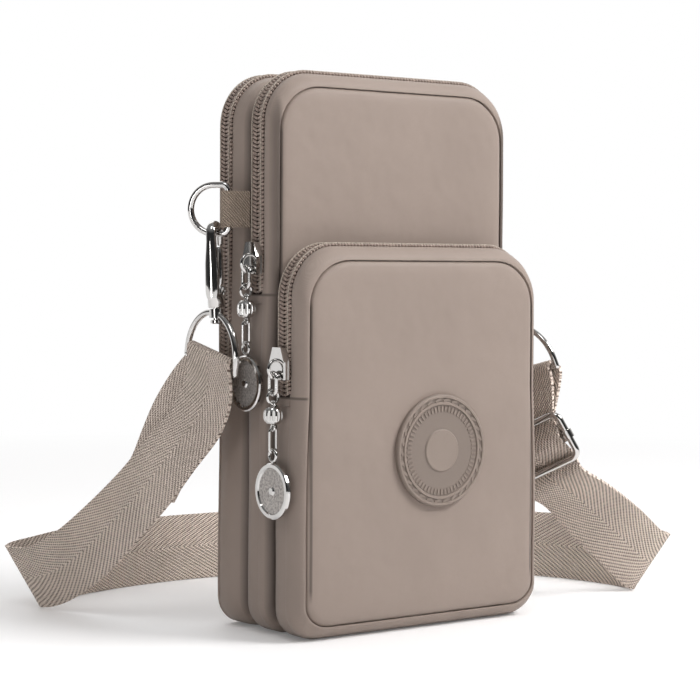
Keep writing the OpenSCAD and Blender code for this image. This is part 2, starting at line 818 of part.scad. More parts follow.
left_low = [
    [-66.8, 27, 42], [-64.8, 24, 49], [-62.5, 21.5, 58], [-60.5, 18.5, 67.5], [-58, 14.5, 76],
    [-56.8, 9, 84.5], [-57.1, 3.6, 88.6], [-58, 3.2, 90], [-59.2, 2.9, 90.4], [-60.4, 2.6, 90],
    [-61.4, 2.2, 88.6], [-62, -0.5, 78], [-63, 4, 66.5], [-66, 15.5, 54], [-68.5, 26.5, 42],
    [-72, 40, 29], [-76, 55, 15.5], [-80, 70, 5.5], [-83, 80, 1.6], [-85, 84, 0.8]];
left_high = [
    [-72.3, 49.5, 51], [-70, 47, 57], [-67.5, 44.5, 66], [-64.5, 41.5, 75.5], [-60.5, 37, 85],
    [-57, 32, 92], [-57.1, 27.6, 94], [-58, 27.1, 95.2], [-59.2, 26.7, 95.6], [-60.4, 26.4, 95.2],
    [-61.4, 26, 94], [-63.6, 23.5, 84.5], [-67, 28, 73], [-70.5, 38.5, 62], [-74, 49, 51],
    [-79.5, 61.5, 39], [-85, 74, 28.5], [-89.5, 85.5, 22.5], [-92, 91.5, 21.5], [-93.5, 95, 22]];
run_low = [
    [-83, 88, 0.6], [-76, 93.5, 0.3], [-58, 103, 0.3], [-38, 109.5, 0.3], [-16, 112, 0.3], [6, 111.5, 0.3],
    [30, 107.5, 0.3], [54, 98.5, 0.3], [76, 85, 0.3], [94, 67, 0.3], [107, 48, 0.3], [115, 28, 0.3],
    [118.5, 10, 0.3], [117.5, -1, 0.6]];
run_high = [
    [-91, 98.5, 22.5], [-82, 101, 23], [-62, 109.5, 24], [-40, 115.5, 24], [-17, 117.5, 24.4],
    [6, 117, 24.4], [31, 113, 24.4], [56.5, 103.5, 24.4], [79.5, 89, 24.4], [98.5, 70, 24.4],
    [112, 50, 24.4], [120.5, 28, 24.4], [124.5, 7.5, 23.8], [126, -7.5, 22.5]];
right_low = [[115.5, -6.5, 0.8], [111, -6.5, 2.6], [101, -3, 12], [90, 0, 22.5], [79.5, 3, 33]];
right_high = [
    [126.5, -14.5, 21.8], [121, -16, 23], [111.5, -16, 30.5], [100, -17.5, 37.5], [88.5, -18.5, 44]];

function in_frame(w, h, n) =
    adjuster_at + w * adjuster_side + h * adjuster_up + n * adjuster_face;

// Height and depth of the strap's middle at each bar of the adjuster
lap = wire_r + clear + web_t / 2;
bar_h = adjuster_h / 2 - adjuster_wire;
entry_l = 5;
entry_in = 1.6;
bend_l = 1.5;
ease = 0.1;
weave_hn = [[-bar_h - entry_l, -entry_in], [-bar_h, -lap - 2 * ease], [-bar_h / 2, ease],
            [-bend_l, lap - ease], [0, lap + ease], [bend_l, lap - ease], [bar_h / 2, ease],
            [bar_h, -lap - 2 * ease]];
back_play = 0.8;
back_mid = 1.1;
back_end = 2.5;
back_hn = [[bar_h, -lap - web_t - back_play], [bar_h / 2, -lap - back_mid], [bend_l, -lap - ease],
           [-back_end, -lap - ease]];
right_bar = right_boss + (eye_r + eye_leg) * right_down;
right_out_dir = cross(right_bar_dir, right_down);
function at_bar(w, n, u) =
    right_bar + w * right_bar_dir + n * right_out_dir - u * right_down;
turn_share = 0.7;
lap_turn = lap * turn_share;
bar_leg = 3;
leg_out = 0.6;
bar_nu = [[-lap, -bar_leg], [-lap, 0], [-lap_turn, lap_turn], [0, lap], [lap_turn, lap_turn], [lap, 0],
          [lap + leg_out, -bar_leg]];

strap_low = concat(left_low, run_low, right_low,
    [for (p = weave_hn) in_frame(web_w / 2, p[0], p[1])],
    [for (p = bar_nu) at_bar(-web_w / 2, p[0], p[1])],
    [for (p = back_hn) in_frame(web_w / 2, p[0], p[1])]);
strap_high = concat(left_high, run_high, right_high,
    [for (p = weave_hn) in_frame(-web_w / 2, p[0], p[1])],
    [for (p = bar_nu) at_bar(web_w / 2, p[0], p[1])],
    [for (p = back_hn) in_frame(-web_w / 2, p[0], p[1])]);

// A flat web between two edge lines
module web(low, high, t) {
    n = len(low);
    mid = [for (i = [0 : n - 1]) (low[i] + high[i]) / 2];
    face = [for (i = [0 : n - 1])
        let (a = mid[max(i - 1, 0)], b = mid[min(i + 1, n - 1)])
        unit(cross(high[i] - low[i], b - a)) * t / 2];
    points = [for (i = [0 : n - 1])
        each [low[i] + face[i], high[i] + face[i], high[i] - face[i], low[i] - face[i]]];
    sides = [for (i = [0 : n - 2]) for (k = [0 : 3])
        let (a = 4 * i + k, b = 4 * i + (k + 1) % 4)
        each [[a, b, b + 4], [a, b + 4, a + 4]]];
    last = 4 * (n - 1);
    polyhedron(points, concat([[2, 1, 0], [3, 2, 0]], sides,
        [[last, last + 1, last + 2], [last, last + 2, last + 3]]));
}

module strap() {
    color(web_colour) web(strap_low, strap_high, web_t);
}

// Round patch: a rope ring, a reeded ring, a plain band and a raised middle

rope_count = 30;
reed_count = 60;
rope_share = 0.9;
reed_share = 0.74;
band_share = 0.62;
middle_share = 0.36;
rim_share = [0.94, 0.93];
rope_edge_share = [0.87, 0.86];
reed_edge_share = [0.82, 0.81];
rope_size_share = [0.05, 0.13];
reed_size_share = [0.1, 0.035];
rope_lean = 25;
relief = 0.5;

module round_patch() {
    r = patch_d / 2;
    color(taupe_side) translate([patch_x, front_y, patch_z]) rotate([90, 0, 0]) {
        rotate_extrude($fn = 96)
            polygon([[0, 0], [r, 0], [r, patch_t - relief], [r - relief, patch_t],
                     [r * rim_share[0], patch_t], [r * rim_share[1], patch_t - relief],
                     [r * rope_edge_share[0], patch_t - relief], [r * rope_edge_share[1], patch_t],
                     [r * reed_edge_share[0], patch_t], [r * reed_edge_share[1], patch_t - relief],
                     [r * band_share, patch_t - relief],
                     [r * middle_share + relief, patch_t - relief], [r * middle_share, patch_t],
                     [0, patch_t]]);
        for (i = [0 : rope_count - 1]) rotate([0, 0, i * 360 / rope_count])
            translate([r * rope_share, 0, patch_t - relief]) rotate([0, 0, rope_lean])
                cube([r * rope_size_share[0], r * rope_size_share[1], relief], center = true);
        for (i = [0 : reed_count - 1]) rotate([0, 0, i * 360 / reed_count])
            translate([r * reed_share, 0, patch_t - relief])
                cube([r * reed_size_share[0], r * reed_size_share[1], relief], center = true);
    }
}

rear_panel();
rear_gusset();
divider_panel();
middle_gusset();
middle_panel();
pocket_gusset();
pocket_panel();
rear_lining();
middle_lining();
pocket_lining();
rear_flap_panel();
middle_flap_panel();
middle_flap_strip();
pocket_flap_panel();
pocket_flap_strip();
rear_tape_fixed();
rear_tape_flap();
rear_coil_fixed();
rear_coil_flap();
middle_tape_fixed();
middle_tape_flap();
middle_coil_fixed();
middle_coil_flap();
pocket_tape_fixed();
pocket_tape_flap();
pocket_coil_fixed();
pocket_coil_flap();
rear_slider();
rear_pull_ring();
rear_bead();
rear_link();
rear_pendant();
middle_slider();
middle_pull_ring();
middle_bead();
middle_link();
middle_pendant();
pocket_slider();
pocket_pull_ring();
pocket_bead();
pocket_link();
pocket_pendant();
left_tab();
right_tab();
left_d_ring();
right_d_ring();
left_hook();
right_hook();
left_gate();
right_gate();
left_eye();
right_eye();
strap();
adjuster_frame();
adjuster_bar();
round_patch();
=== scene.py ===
"""Phone pouch with three zipped compartments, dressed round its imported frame.

Lengths in the classes are in millimetres, and meshes are scaled to metres as they are made.
"""

import logging
import math
from contextlib import contextmanager
from dataclasses import dataclass, field
from enum import Enum
from typing import Callable, Iterator, Sequence

import bmesh
import bpy
from mathutils import Matrix, Vector


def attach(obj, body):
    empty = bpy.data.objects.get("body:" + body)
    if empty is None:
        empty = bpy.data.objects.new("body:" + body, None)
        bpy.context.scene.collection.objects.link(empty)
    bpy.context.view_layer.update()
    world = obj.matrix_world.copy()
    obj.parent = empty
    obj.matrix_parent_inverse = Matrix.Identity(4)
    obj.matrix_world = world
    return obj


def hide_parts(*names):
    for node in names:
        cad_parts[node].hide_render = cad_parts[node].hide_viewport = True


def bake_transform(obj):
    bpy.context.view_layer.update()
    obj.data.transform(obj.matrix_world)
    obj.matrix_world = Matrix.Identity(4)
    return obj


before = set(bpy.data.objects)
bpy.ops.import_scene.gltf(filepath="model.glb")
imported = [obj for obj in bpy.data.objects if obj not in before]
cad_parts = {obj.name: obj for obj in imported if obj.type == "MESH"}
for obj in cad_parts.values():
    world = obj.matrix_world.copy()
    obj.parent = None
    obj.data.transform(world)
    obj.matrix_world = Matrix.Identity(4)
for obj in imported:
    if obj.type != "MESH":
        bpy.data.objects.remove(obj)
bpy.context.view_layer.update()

logging.basicConfig(level=logging.INFO, format="%(message)s")
log = logging.getLogger("pouch")

MM = 0.001
Colour = tuple[float, float, float, float]


class Side(Enum):
    """Which way a sewn face looks."""

    FRONT = -1
    BACK = 1


class Slot(Enum):
    """The record's material slots."""

    CLOTH = "cloth"
    LINING = "lining"
    WEBBING = "webbing"
    TAPE = "tape"
    COIL = "coil"
    PATCH = "patch"
    NICKEL = "nickel"


# ---- edit-mode steps ----


def deselect() -> None:
    """Clears the selection, as operators act on all that is selected."""
    if bpy.context.mode != "OBJECT":
        bpy.ops.object.mode_set(mode="OBJECT")
    bpy.ops.object.select_all(action="DESELECT")


def activate(obj: bpy.types.Object) -> None:
    """Selects one object and makes it the active one."""
    deselect()
    obj.select_set(True)
    bpy.context.view_layer.objects.active = obj


@contextmanager
def editing(obj: bpy.types.Object) -> Iterator[None]:
    """Holds edit mode open on one object."""
    activate(obj)
    bpy.ops.object.mode_set(mode="EDIT")
    yield
    bpy.ops.object.mode_set(mode="OBJECT")


def pick(obj: bpy.types.Object, kind: str, test: Callable[[Vector], bool]) -> int:
    """Selects parts of the mesh in edit mode by the place of their middle.

    Args:
        obj: the mesh that is being edited.
        kind: VERT, EDGE or FACE.
        test: says from the middle's place, in millimetres, whether to select.

    Returns:
        How many parts were selected.
    """
    bpy.ops.mesh.select_mode(type=kind)
    bpy.ops.mesh.select_all(action="DESELECT")
    bm = bmesh.from_edit_mesh(obj.data)
    count = 0
    for part in {"VERT": bm.verts, "EDGE": bm.edges, "FACE": bm.faces}[kind]:
        if kind == "VERT":
            middle = part.co
        elif kind == "EDGE":
            middle = (part.verts[0].co + part.verts[1].co) / 2
        else:
            middle = part.calc_center_median()
        if test(middle / MM):
            part.select_set(True)
            count += 1
    bmesh.update_edit_mesh(obj.data)
    return count


def apply_all(obj: bpy.types.Object) -> bpy.types.Object:
    """Applies every modifier of an object in order."""
    activate(obj)
    for modifier in list(obj.modifiers):
        bpy.ops.object.modifier_apply(modifier=modifier.name)
    return obj


def settle(obj: bpy.types.Object) -> bpy.types.Object:
    """Moves an object's place into its mesh."""
    activate(obj)
    bpy.ops.object.transform_apply(location=True, rotation=True, scale=True)
    return obj


def smooth(obj: bpy.types.Object, degrees: float = 35) -> bpy.types.Object:
    """Shades an object smooth up to an angle."""
    activate(obj)
    bpy.ops.object.shade_smooth_by_angle(angle=math.radians(degrees))
    return obj


def cut(obj: bpy.types.Object, at: Vector, normal: Vector, drop: bool = True) -> None:
    """Bisects a mesh, and drops what lies on the normal's side.

    Args:
        obj: the mesh, which isn't being edited yet.
        at: a point of the plane, in millimetres.
        normal: the plane's normal.
        drop: whether the outer part goes.
    """
    with editing(obj):
        bpy.ops.mesh.select_all(action="SELECT")
        bpy.ops.mesh.bisect(plane_co=at * MM, plane_no=normal, clear_outer=drop)


def joined(name: str, objects: Sequence[bpy.types.Object]) -> bpy.types.Object:
    """Joins several meshes into one piece."""
    deselect()
    for obj in objects:
        obj.select_set(True)
    bpy.context.view_layer.objects.active = objects[0]
    bpy.ops.object.join()
    objects[0].name = name
    return objects[0]


# ---- finishes ----


class Nodes:
    """A short way to write the node tree of a material or of the world."""

    def __init__(self, name: str, world: bool = False) -> None:
        """Starts a material, or the world, with its shader ready."""
        self.material = (bpy.data.worlds if world else bpy.data.materials).new(name)
        self.material.use_nodes = True
        self.tree = self.material.node_tree
        self.shader = self.tree.nodes["Background" if world else "Principled BSDF"]

    def add(self, kind: str, **settings: object) -> bpy.types.Node:
        """Adds a node, and sets its properties or its numbered or named inputs.

        Args:
            kind: the node's type.
            settings: a property's name, or in_NAME or in_0 for an input.

        Returns:
            The node.
        """
        node = self.tree.nodes.new(kind)
        for key, value in settings.items():
            if not key.startswith("in_"):
                setattr(node, key, value)
        for key, value in settings.items():
            if key.startswith("in_"):
                label = key[3:].replace("_", " ")
                socket = node.inputs[int(label)] if label.isdigit() else node.inputs[label]
                self.feed(value, socket)
        return node

    def feed(self, value: object, socket: bpy.types.NodeSocket) -> None:
        """Links an output to a socket, or sets the socket's value."""
        if isinstance(value, bpy.types.NodeSocket):
            self.tree.links.new(value, socket)
        else:
            socket.default_value = value

    def math(self, operation: str, *values: object) -> bpy.types.NodeSocket:
        """Adds a Math node and gives its output."""
        node = self.tree.nodes.new("ShaderNodeMath")
        node.operation = operation
        for value, socket in zip(values, node.inputs):
            self.feed(value, socket)
        return node.outputs[0]

    def mix(self, factor: object, a: object, b: object) -> bpy.types.NodeSocket:
        """Mixes two colours."""
        node = self.tree.nodes.new("ShaderNodeMix")
        node.data_type = "RGBA"
        self.feed(factor, node.inputs["Factor"])
        self.feed(a, node.inputs[6])
        self.feed(b, node.inputs[7])
        return node.outputs[2]

    def noise(self, scale: float, detail: float) -> bpy.types.NodeSocket:
        """Adds a noise on Object coordinates."""
        node = self.add("ShaderNodeTexNoise", in_Scale=scale, in_Detail=detail, in_Vector=self.place())
        return node.outputs["Fac"]

    def place(self) -> bpy.types.NodeSocket:
        """Gives Object coordinates, in metres."""
        return self.add("ShaderNodeTexCoord").outputs["Object"]

    def span(self, value: object, low: float, high: float, to_low: float = 0,
             to_high: float = 1) -> bpy.types.NodeSocket:
        """Maps a value from one range to another, and clamps it."""
        node = self.add("ShaderNodeMapRange")
        self.feed(value, node.inputs[0])
        for socket, number in zip(list(node.inputs)[1:5], (low, high, to_low, to_high)):
            socket.default_value = number
        return node.outputs[0]

    def close(self, value: object, at: float, far: float, near: float) -> bpy.types.NodeSocket:
        """Gives 1 where a value is near another, and 0 where it is far from it."""
        return self.span(self.math("ABSOLUTE", self.math("SUBTRACT", value, at)), far, near)

    def waves(self, value: object, step: float) -> bpy.types.NodeSocket:
        """Gives a sine wave of a value, with one crest at each step."""
        return self.math("SINE", self.math("MULTIPLY", value, 2 * math.pi / step))

    def seen(self, glossy: object) -> bpy.types.NodeSocket:
        """Gives 1 to camera and transmission rays, and a share of it to glossy rays."""
        path = self.add("ShaderNodeLightPath").outputs
        mirror = self.math("MULTIPLY", path["Is Glossy Ray"], glossy)
        straight = self.math("MAXIMUM", path["Is Camera Ray"], path["Is Transmission Ray"])
        return self.math("MAXIMUM", straight, mirror)

    def bump(self, height: object, strength: float, distance: float,
             normal: object = None) -> bpy.types.NodeSocket:
        """Adds a Bump node over another."""
        node = self.add("ShaderNodeBump", in_Strength=strength, in_Distance=distance)
        self.feed(height, node.inputs["Height"])
        if normal is not None:
            self.feed(normal, node.inputs["Normal"])
        return node.outputs[0]


def tinted(colour: Colour, k: float) -> Colour:
    """Makes a colour lighter or darker."""
    return (colour[0] * k, colour[1] * k, colour[2] * k, 1)


@dataclass(frozen=True)
class SatinNylon:
    """Soft padded nylon of one compartment: fine weave, slow folds, low sheen, and painted shade along its
    seam lines, in the creases between compartments and on the flank below the zip's end.

    Its own sizes are in millimetres. Seams are read from the piece's UV map "rest", in metres.
    """

    name: str
    zip_end: float
    straight: float
    # strength of the painted shade on the flank below the zip's end
    shade: float
    colour: Colour = (0.345, 0.278, 0.24, 1)
    weave: float = 0.42
    fold: float = 0.75
    roughness: float = 0.5
    seams: float = 8.0
    groove: float = 47.1
    flank: tuple[float, float] = (47.8, 48.6)
    line: tuple[float, float] = (0.6, 0.2)
    # darker tone that every painted shade mark mixes in, as a share of the cloth's colour
    painted_shade_tone: float = 0.35
    # strength of the painted shade along the seam lines
    seam_line_shade: float = 0.85

    def make(self) -> bpy.types.Material:
        """Builds the material."""
        n = Nodes(self.name)
        y = n.add("ShaderNodeSeparateXYZ", in_0=n.place()).outputs[1]
        rest = n.add("ShaderNodeUVMap", uv_map="rest").outputs[0]
        x, z, _ = n.add("ShaderNodeSeparateXYZ", in_0=rest).outputs
        step = self.weave * MM
        weave = n.math("MULTIPLY", n.waves(n.math("ADD", x, y), step), n.waves(z, step))
        slow, grain = n.noise(26, 3), n.noise(900, 2)
        base = n.mix(n.span(slow, 0.35, 0.65), tinted(self.colour, 0.95), tinted(self.colour, 1.04))
        threads = n.span(n.math("ADD", weave, grain), -0.6, 1.6)
        cloth = n.mix(threads, tinted(self.colour, 0.9), base)
        for mask in self.painted_shade_masks(n, n.math("ABSOLUTE", x), n.math("ABSOLUTE", y), z):
            # each mask mixes in the darker tone: painted shade
            cloth = n.mix(mask, cloth, tinted(self.colour, self.painted_shade_tone))
        n.feed(cloth, n.shader.inputs["Base Color"])
        n.feed(n.span(grain, 0.3, 0.7, self.roughness - 0.05, self.roughness + 0.08),
               n.shader.inputs["Roughness"])
        n.shader.inputs["Sheen Weight"].default_value = 0.1
        n.shader.inputs["Sheen Roughness"].default_value = 0.4
        n.shader.inputs["Specular IOR Level"].default_value = 0.15
        folds = n.bump(n.noise(30, 3), self.fold, 0.0026)
        n.feed(n.bump(grain, 0.12, 0.00005, n.bump(weave, 0.16, 0.00006, folds)), n.shader.inputs["Normal"])
        return n.material

    def painted_shade_masks(self, n: Nodes, wide: bpy.types.NodeSocket, deep: bpy.types.NodeSocket,
              z: bpy.types.NodeSocket) -> list[bpy.types.NodeSocket]:
        """Gives the places where painted shade darkens the cloth.

        Args:
            n: the material's nodes.
            wide: distance from the pouch's middle, across.
            deep: distance from the pouch's middle, front to back.
            z: height.

        Returns:
            Painted shade for the side below the zip's end, for the seam lines at the groove and the hem,
            and for the creases between the compartments.
        """
        end, top = self.zip_end * MM, self.straight * MM
        flank = n.span(wide, *(at * MM for at in self.flank))
        below = n.math("MULTIPLY", n.span(z, end + 0.2 * MM, end - 0.2 * MM), flank)
        upright = n.math("MULTIPLY", n.span(z, top, top - 3 * MM), n.span(z, 13 * MM, 17 * MM))
        far, near = (at * MM for at in self.line)
        groove = n.math("MULTIPLY", n.close(wide, self.groove * MM, far + 0.1 * MM, near), upright)
        hem = n.math("MULTIPLY", n.close(z, end - 0.1 * MM, far, near), flank)
        edge = n.math("MAXIMUM", n.span(wide, 46.2 * MM, 47.8 * MM), n.span(z, 3.5 * MM, 2.2 * MM))
        # painted shade on the flank below the zip's end
        return [n.math("MULTIPLY", below, self.shade),
                # painted shade along the seam lines in the groove and at the hem
                n.math("MULTIPLY", n.math("MAXIMUM", groove, hem), self.seam_line_shade),
                # painted shade in the creases between the compartments, near the seams
                n.math("MULTIPLY", n.close(deep, self.seams * MM, 3.4 * MM, 0.6 * MM), edge)]


@dataclass(frozen=True)
class HerringboneWebbing:
    """Woven strap: columns of slanted ribs that change direction, read from the piece's UV map "weave"."""

    name: str = "herringbone_webbing"
    colour: Colour = (0.98, 0.84, 0.74, 1)
    gap: Colour = (0.17, 0.115, 0.085, 1)
    column: float = 12.5
    rib: float = 2.2
    slant: float = 1.6
    thread: float = 0.62

    def make(self) -> bpy.types.Material:
        """Builds the material."""
        n = Nodes(self.name)
        uv = n.add("ShaderNodeUVMap", uv_map="weave").outputs[0]
        u, v, _ = n.add("ShaderNodeSeparateXYZ", in_0=uv).outputs
        wave = n.math("PINGPONG", n.math("MULTIPLY", u, 1 / MM), self.column)
        phase = n.math("ADD", n.math("MULTIPLY", v, 1 / MM), n.math("MULTIPLY", wave, self.slant))
        crossed = n.math("SUBTRACT", phase, n.math("MULTIPLY", wave, self.slant * 2))
        threads = n.waves(crossed, self.rib * self.thread)
        height = n.math("ADD", n.waves(phase, self.rib), n.math("MULTIPLY", threads, 0.75))
        grain, slow = n.noise(700, 2), n.noise(40, 2)
        light = n.mix(n.span(slow, 0.35, 0.65), tinted(self.colour, 0.93), tinted(self.colour, 1.05))
        n.feed(n.mix(n.span(n.math("ADD", height, grain), -1.2, 0.9), self.gap, light),
               n.shader.inputs["Base Color"])
        n.feed(n.span(grain, 0.3, 0.7, 0.6, 0.75), n.shader.inputs["Roughness"])
        n.shader.inputs["Sheen Weight"].default_value = 0.04
        n.shader.inputs["Specular IOR Level"].default_value = 0.12
        n.feed(n.bump(grain, 0.25, 0.0001, n.bump(height, 0.8, 0.0003)), n.shader.inputs["Normal"])
        return n.material


@dataclass(frozen=True)
class PlainCloth:
    """Lining cloth or zip tape: a plain weave on Object coordinates."""

    name: str
    colour: Colour
    thread: float = 0.7
    roughness: float = 0.75

    def make(self) -> bpy.types.Material:
        """Builds the material."""
        n = Nodes(self.name)
        x, y, z = n.add("ShaderNodeSeparateXYZ", in_0=n.place()).outputs
        slanted = n.waves(n.math("ADD", n.math("ADD", x, z), y), self.thread * MM)
        weave = n.math("ADD", slanted, n.waves(n.math("SUBTRACT", y, z), self.thread * MM))
        grain = n.noise(500, 2)
        n.feed(n.mix(n.span(n.math("ADD", weave, grain), -1.5, 1.8), tinted(self.colour, 0.6),
                     tinted(self.colour, 1.1)), n.shader.inputs["Base Color"])
        n.feed(n.span(grain, 0.3, 0.7, self.roughness - 0.05, self.roughness + 0.05),
               n.shader.inputs["Roughness"])
        n.feed(n.bump(weave, 0.4, 0.0001), n.shader.inputs["Normal"])
        return n.material


@dataclass(frozen=True)
class CoilNylon:
    """Moulded coil turns of a zip, mottled by handling."""

    name: str = "coil_nylon"
    colour: Colour = (0.35, 0.27, 0.23, 1)

    def make(self) -> bpy.types.Material:
        """Builds the material."""
        n = Nodes(self.name)
        grain = n.noise(600, 3)
        n.feed(n.mix(n.span(grain, 0.3, 0.7), tinted(self.colour, 0.75), tinted(self.colour, 1.3)),
               n.shader.inputs["Base Color"])
        n.feed(n.span(grain, 0.3, 0.7, 0.32, 0.48), n.shader.inputs["Roughness"])
        n.feed(n.bump(grain, 0.2, 0.0001), n.shader.inputs["Normal"])
        return n.material


@dataclass(frozen=True)
class MouldedRubber:
    """Matt rubber of the round patch, with painted shade on its sunken ground."""

    name: str = "moulded_rubber"
    colour: Colour = (0.28, 0.223, 0.188, 1)
    ground: float = -26.95
    top: float = -27.3

    def make(self) -> bpy.types.Material:
        """Builds the material."""
        n = Nodes(self.name)
        grain, slow = n.noise(1400, 3), n.noise(60, 2)
        skin = n.mix(n.span(slow, 0.3, 0.7), tinted(self.colour, 0.95), tinted(self.colour, 1.05))
        depth = n.add("ShaderNodeSeparateXYZ", in_0=n.place()).outputs[1]
        # the sunken ground between the raised rings is darker: painted shade of the recess
        low = n.span(depth, self.ground * MM, self.top * MM)
        n.feed(n.mix(low, tinted(self.colour, 0.8), skin), n.shader.inputs["Base Color"])
        n.feed(n.span(grain, 0.3, 0.7, 0.5, 0.64), n.shader.inputs["Roughness"])
        n.feed(n.bump(grain, 0.25, 0.00005), n.shader.inputs["Normal"])
        return n.material


@dataclass(frozen=True)
class Nickel:
    """Polished or frosted nickel plate with fine wear."""

    name: str = "polished_nickel"
    colour: Colour = (0.66, 0.645, 0.63, 1)
    roughness: float = 0.07
    grit: float = 0.0

    def make(self) -> bpy.types.Material:
        """Builds the material."""
        n = Nodes(self.name)
        slow, grain = n.noise(220, 3), n.noise(2600 - 1300 * self.grit, 2)
        sparkle = n.span(grain if self.grit else slow, 0.35, 0.65)
        n.feed(n.mix(sparkle, tinted(self.colour, 0.94 - 0.45 * self.grit), self.colour),
               n.shader.inputs["Base Color"])
        n.shader.inputs["Metallic"].default_value = 1 - 0.45 * self.grit
        n.feed(n.span(slow, 0.35, 0.7, self.roughness * 0.8, self.roughness * 1.4),
               n.shader.inputs["Roughness"])
        n.feed(n.bump(grain, 0.05 + self.grit, 0.00004 + 0.0001 * self.grit), n.shader.inputs["Normal"])
        return n.material


@dataclass(frozen=True)
class Thread:
    """Sewing thread, lighter than the cloth."""

    name: str = "sewing_thread"
    colour: Colour = (0.46, 0.39, 0.33, 1)

    def make(self) -> bpy.types.Material:
        """Builds the material."""
        n = Nodes(self.name)
        grain = n.noise(1800, 2)
        n.feed(n.mix(grain, tinted(self.colour, 0.8), tinted(self.colour, 1.1)),
               n.shader.inputs["Base Color"])
        n.shader.inputs["Roughness"].default_value = 0.6
        n.feed(n.bump(grain, 0.3, 0.00005), n.shader.inputs["Normal"])
        return n.material


@dataclass
class Finishes:
    """Every finish of the pouch, made once."""

    webbing: bpy.types.Material = field(default_factory=lambda: HerringboneWebbing().make())
    tab: bpy.types.Material = field(default_factory=lambda: HerringboneWebbing(
        "tab_webbing", (0.60, 0.48, 0.385, 1), (0.16, 0.11, 0.08, 1), 40, 1.0, 0.9).make())
    lining: bpy.types.Material = field(default_factory=lambda: PlainCloth(
        "lining_cloth", (0.20, 0.165, 0.14, 1)).make())
    # the tape is darkened well below the cloth so that the gaps between the coil turns read dark: painted
    # shade
    tape: bpy.types.Material = field(default_factory=lambda: PlainCloth(
        "zip_tape", (0.075, 0.055, 0.046, 1), 0.55).make())
    coil: bpy.types.Material = field(default_factory=lambda: CoilNylon().make())
    thread: bpy.types.Material = field(default_factory=lambda: Thread().make())
    patch: bpy.types.Material = field(default_factory=lambda: MouldedRubber().make())
    nickel: bpy.types.Material = field(default_factory=lambda: Nickel().make())
    frosted: bpy.types.Material = field(default_factory=lambda: Nickel(
        "frosted_nickel", (0.6, 0.56, 0.53, 1), 0.4, 0.9).make())


def keep_rest(obj: bpy.types.Object) -> None:
    """Keeps each point's place at rest in a UV map, so that the painted shade at the seams stays put when a
    flap folds.
    """
    layer = obj.data.uv_layers.new(name="rest")
    for loop in obj.data.loops:
        place = obj.data.vertices[loop.vertex_index].co
        layer.data[loop.index].uv = (place.x, place.z)


def dress(obj: bpy.types.Object, material: bpy.types.Material) -> bpy.types.Object:
    """Gives a piece its only material."""
    obj.data.materials.clear()
    obj.data.materials.append(material)
    return obj


# ---- the pouch's outline ----


@dataclass(frozen=True)
class Outline:
    """A compartment seen from the front: upright, with rounded corners."""

    width: float
    height: float
    top_r: float
    bottom_r: float

    def face(self, name: str, y: float, side: Side, inset: float = 0,
             dense: bool = True) -> bpy.types.Object:
        """Makes the outline as one flat face that looks to the front or the back.

        Args:
            name: the object's name.
            y: the face's depth station in millimetres.
            side: which way it looks.
            inset: how far inside the outline it lies.
            dense: whether the long edges get points for soft shaping.

        Returns:
            The new object.
        """
        deselect()
        turn = math.pi / 2 if side is Side.FRONT else -math.pi / 2
        bpy.ops.mesh.primitive_plane_add(size=1, rotation=(turn, 0, 0))
        obj = settle(bpy.context.active_object)
        obj.name = name
        w, h = self.width - 2 * inset, self.height - 2 * inset
        with editing(obj):
            bpy.ops.mesh.select_all(action="SELECT")
            bpy.ops.transform.resize(value=(w * MM, 1, h * MM), center_override=(0, 0, 0))
            middle = inset + h / 2
            bpy.ops.transform.translate(value=(0, y * MM, middle * MM))
            for upper, radius, steps in ((True, self.top_r - inset, 12), (False, self.bottom_r - inset, 8)):
                pick(obj, "VERT", lambda p: (p.z > middle) == upper)
                bpy.ops.mesh.bevel(offset=max(radius, 0.5) * MM, segments=steps, affect="VERTICES")
            if dense:
                pick(obj, "EDGE", lambda p: abs(p.x) > w / 2 - 0.01)
                bpy.ops.mesh.subdivide(number_cuts=27)
                pick(obj, "EDGE", lambda p: abs(p.x) < 0.01)
                bpy.ops.mesh.subdivide(number_cuts=15)
        return obj

    def loft(self, name: str, y: float, side: Side, start: float,
             steps: Sequence[tuple[float, float]]) -> bpy.types.Object:
        """Draws the outline out into a shell, one ring after another.

        Args:
            name: the object's name.
            y: depth station of the first ring.
            side: which way the shell grows.
            start: inset of the first ring.
            steps: for each further ring, its change of inset and its growth.

        Returns:
            The shell, open behind, with its last face in place.
        """
        obj = self.face(name, y, side, start)
        inset = start
        with editing(obj):
            bpy.ops.mesh.select_mode(type="FACE")
            bpy.ops.mesh.select_all(action="SELECT")
            for inward, grow in steps:
                bpy.ops.mesh.extrude_region_move(
                    TRANSFORM_OT_translate={"value": (0, side.value * grow * MM, 0)})
                w, h = self.width / 2 - inset, self.height / 2 - inset
                bpy.ops.transform.resize(value=((w - inward) / w, 1, (h - inward) / h),
                                         center_override=(0, 0, self.height / 2 * MM))
                inset += inward
        middle = self.height / 2
        remove(obj, lambda p: abs(p.x) < 2 and abs(p.y - y) < 0.01 and abs(p.z - middle) < 9)
        return obj


TALL = Outline(width=100, height=185, top_r=17, bottom_r=9)
SHORT = Outline(width=100, height=128, top_r=17, bottom_r=9)


def remove(obj: bpy.types.Object, test: Callable[[Vector], bool]) -> None:
    """Deletes the faces of a mesh whose middle passes a test."""
    with editing(obj):
        if pick(obj, "FACE", test):
            bpy.ops.mesh.delete(type="FACE")


def wall(obj: bpy.types.Object, thickness: float) -> bpy.types.Object:
    """Gives a sewn shell its thickness, inwards."""
    modifier = obj.modifiers.new("wall", "SOLIDIFY")
    modifier.thickness = thickness * MM
    modifier.offset = -1
    modifier.use_even_offset = False
    return apply_all(obj)


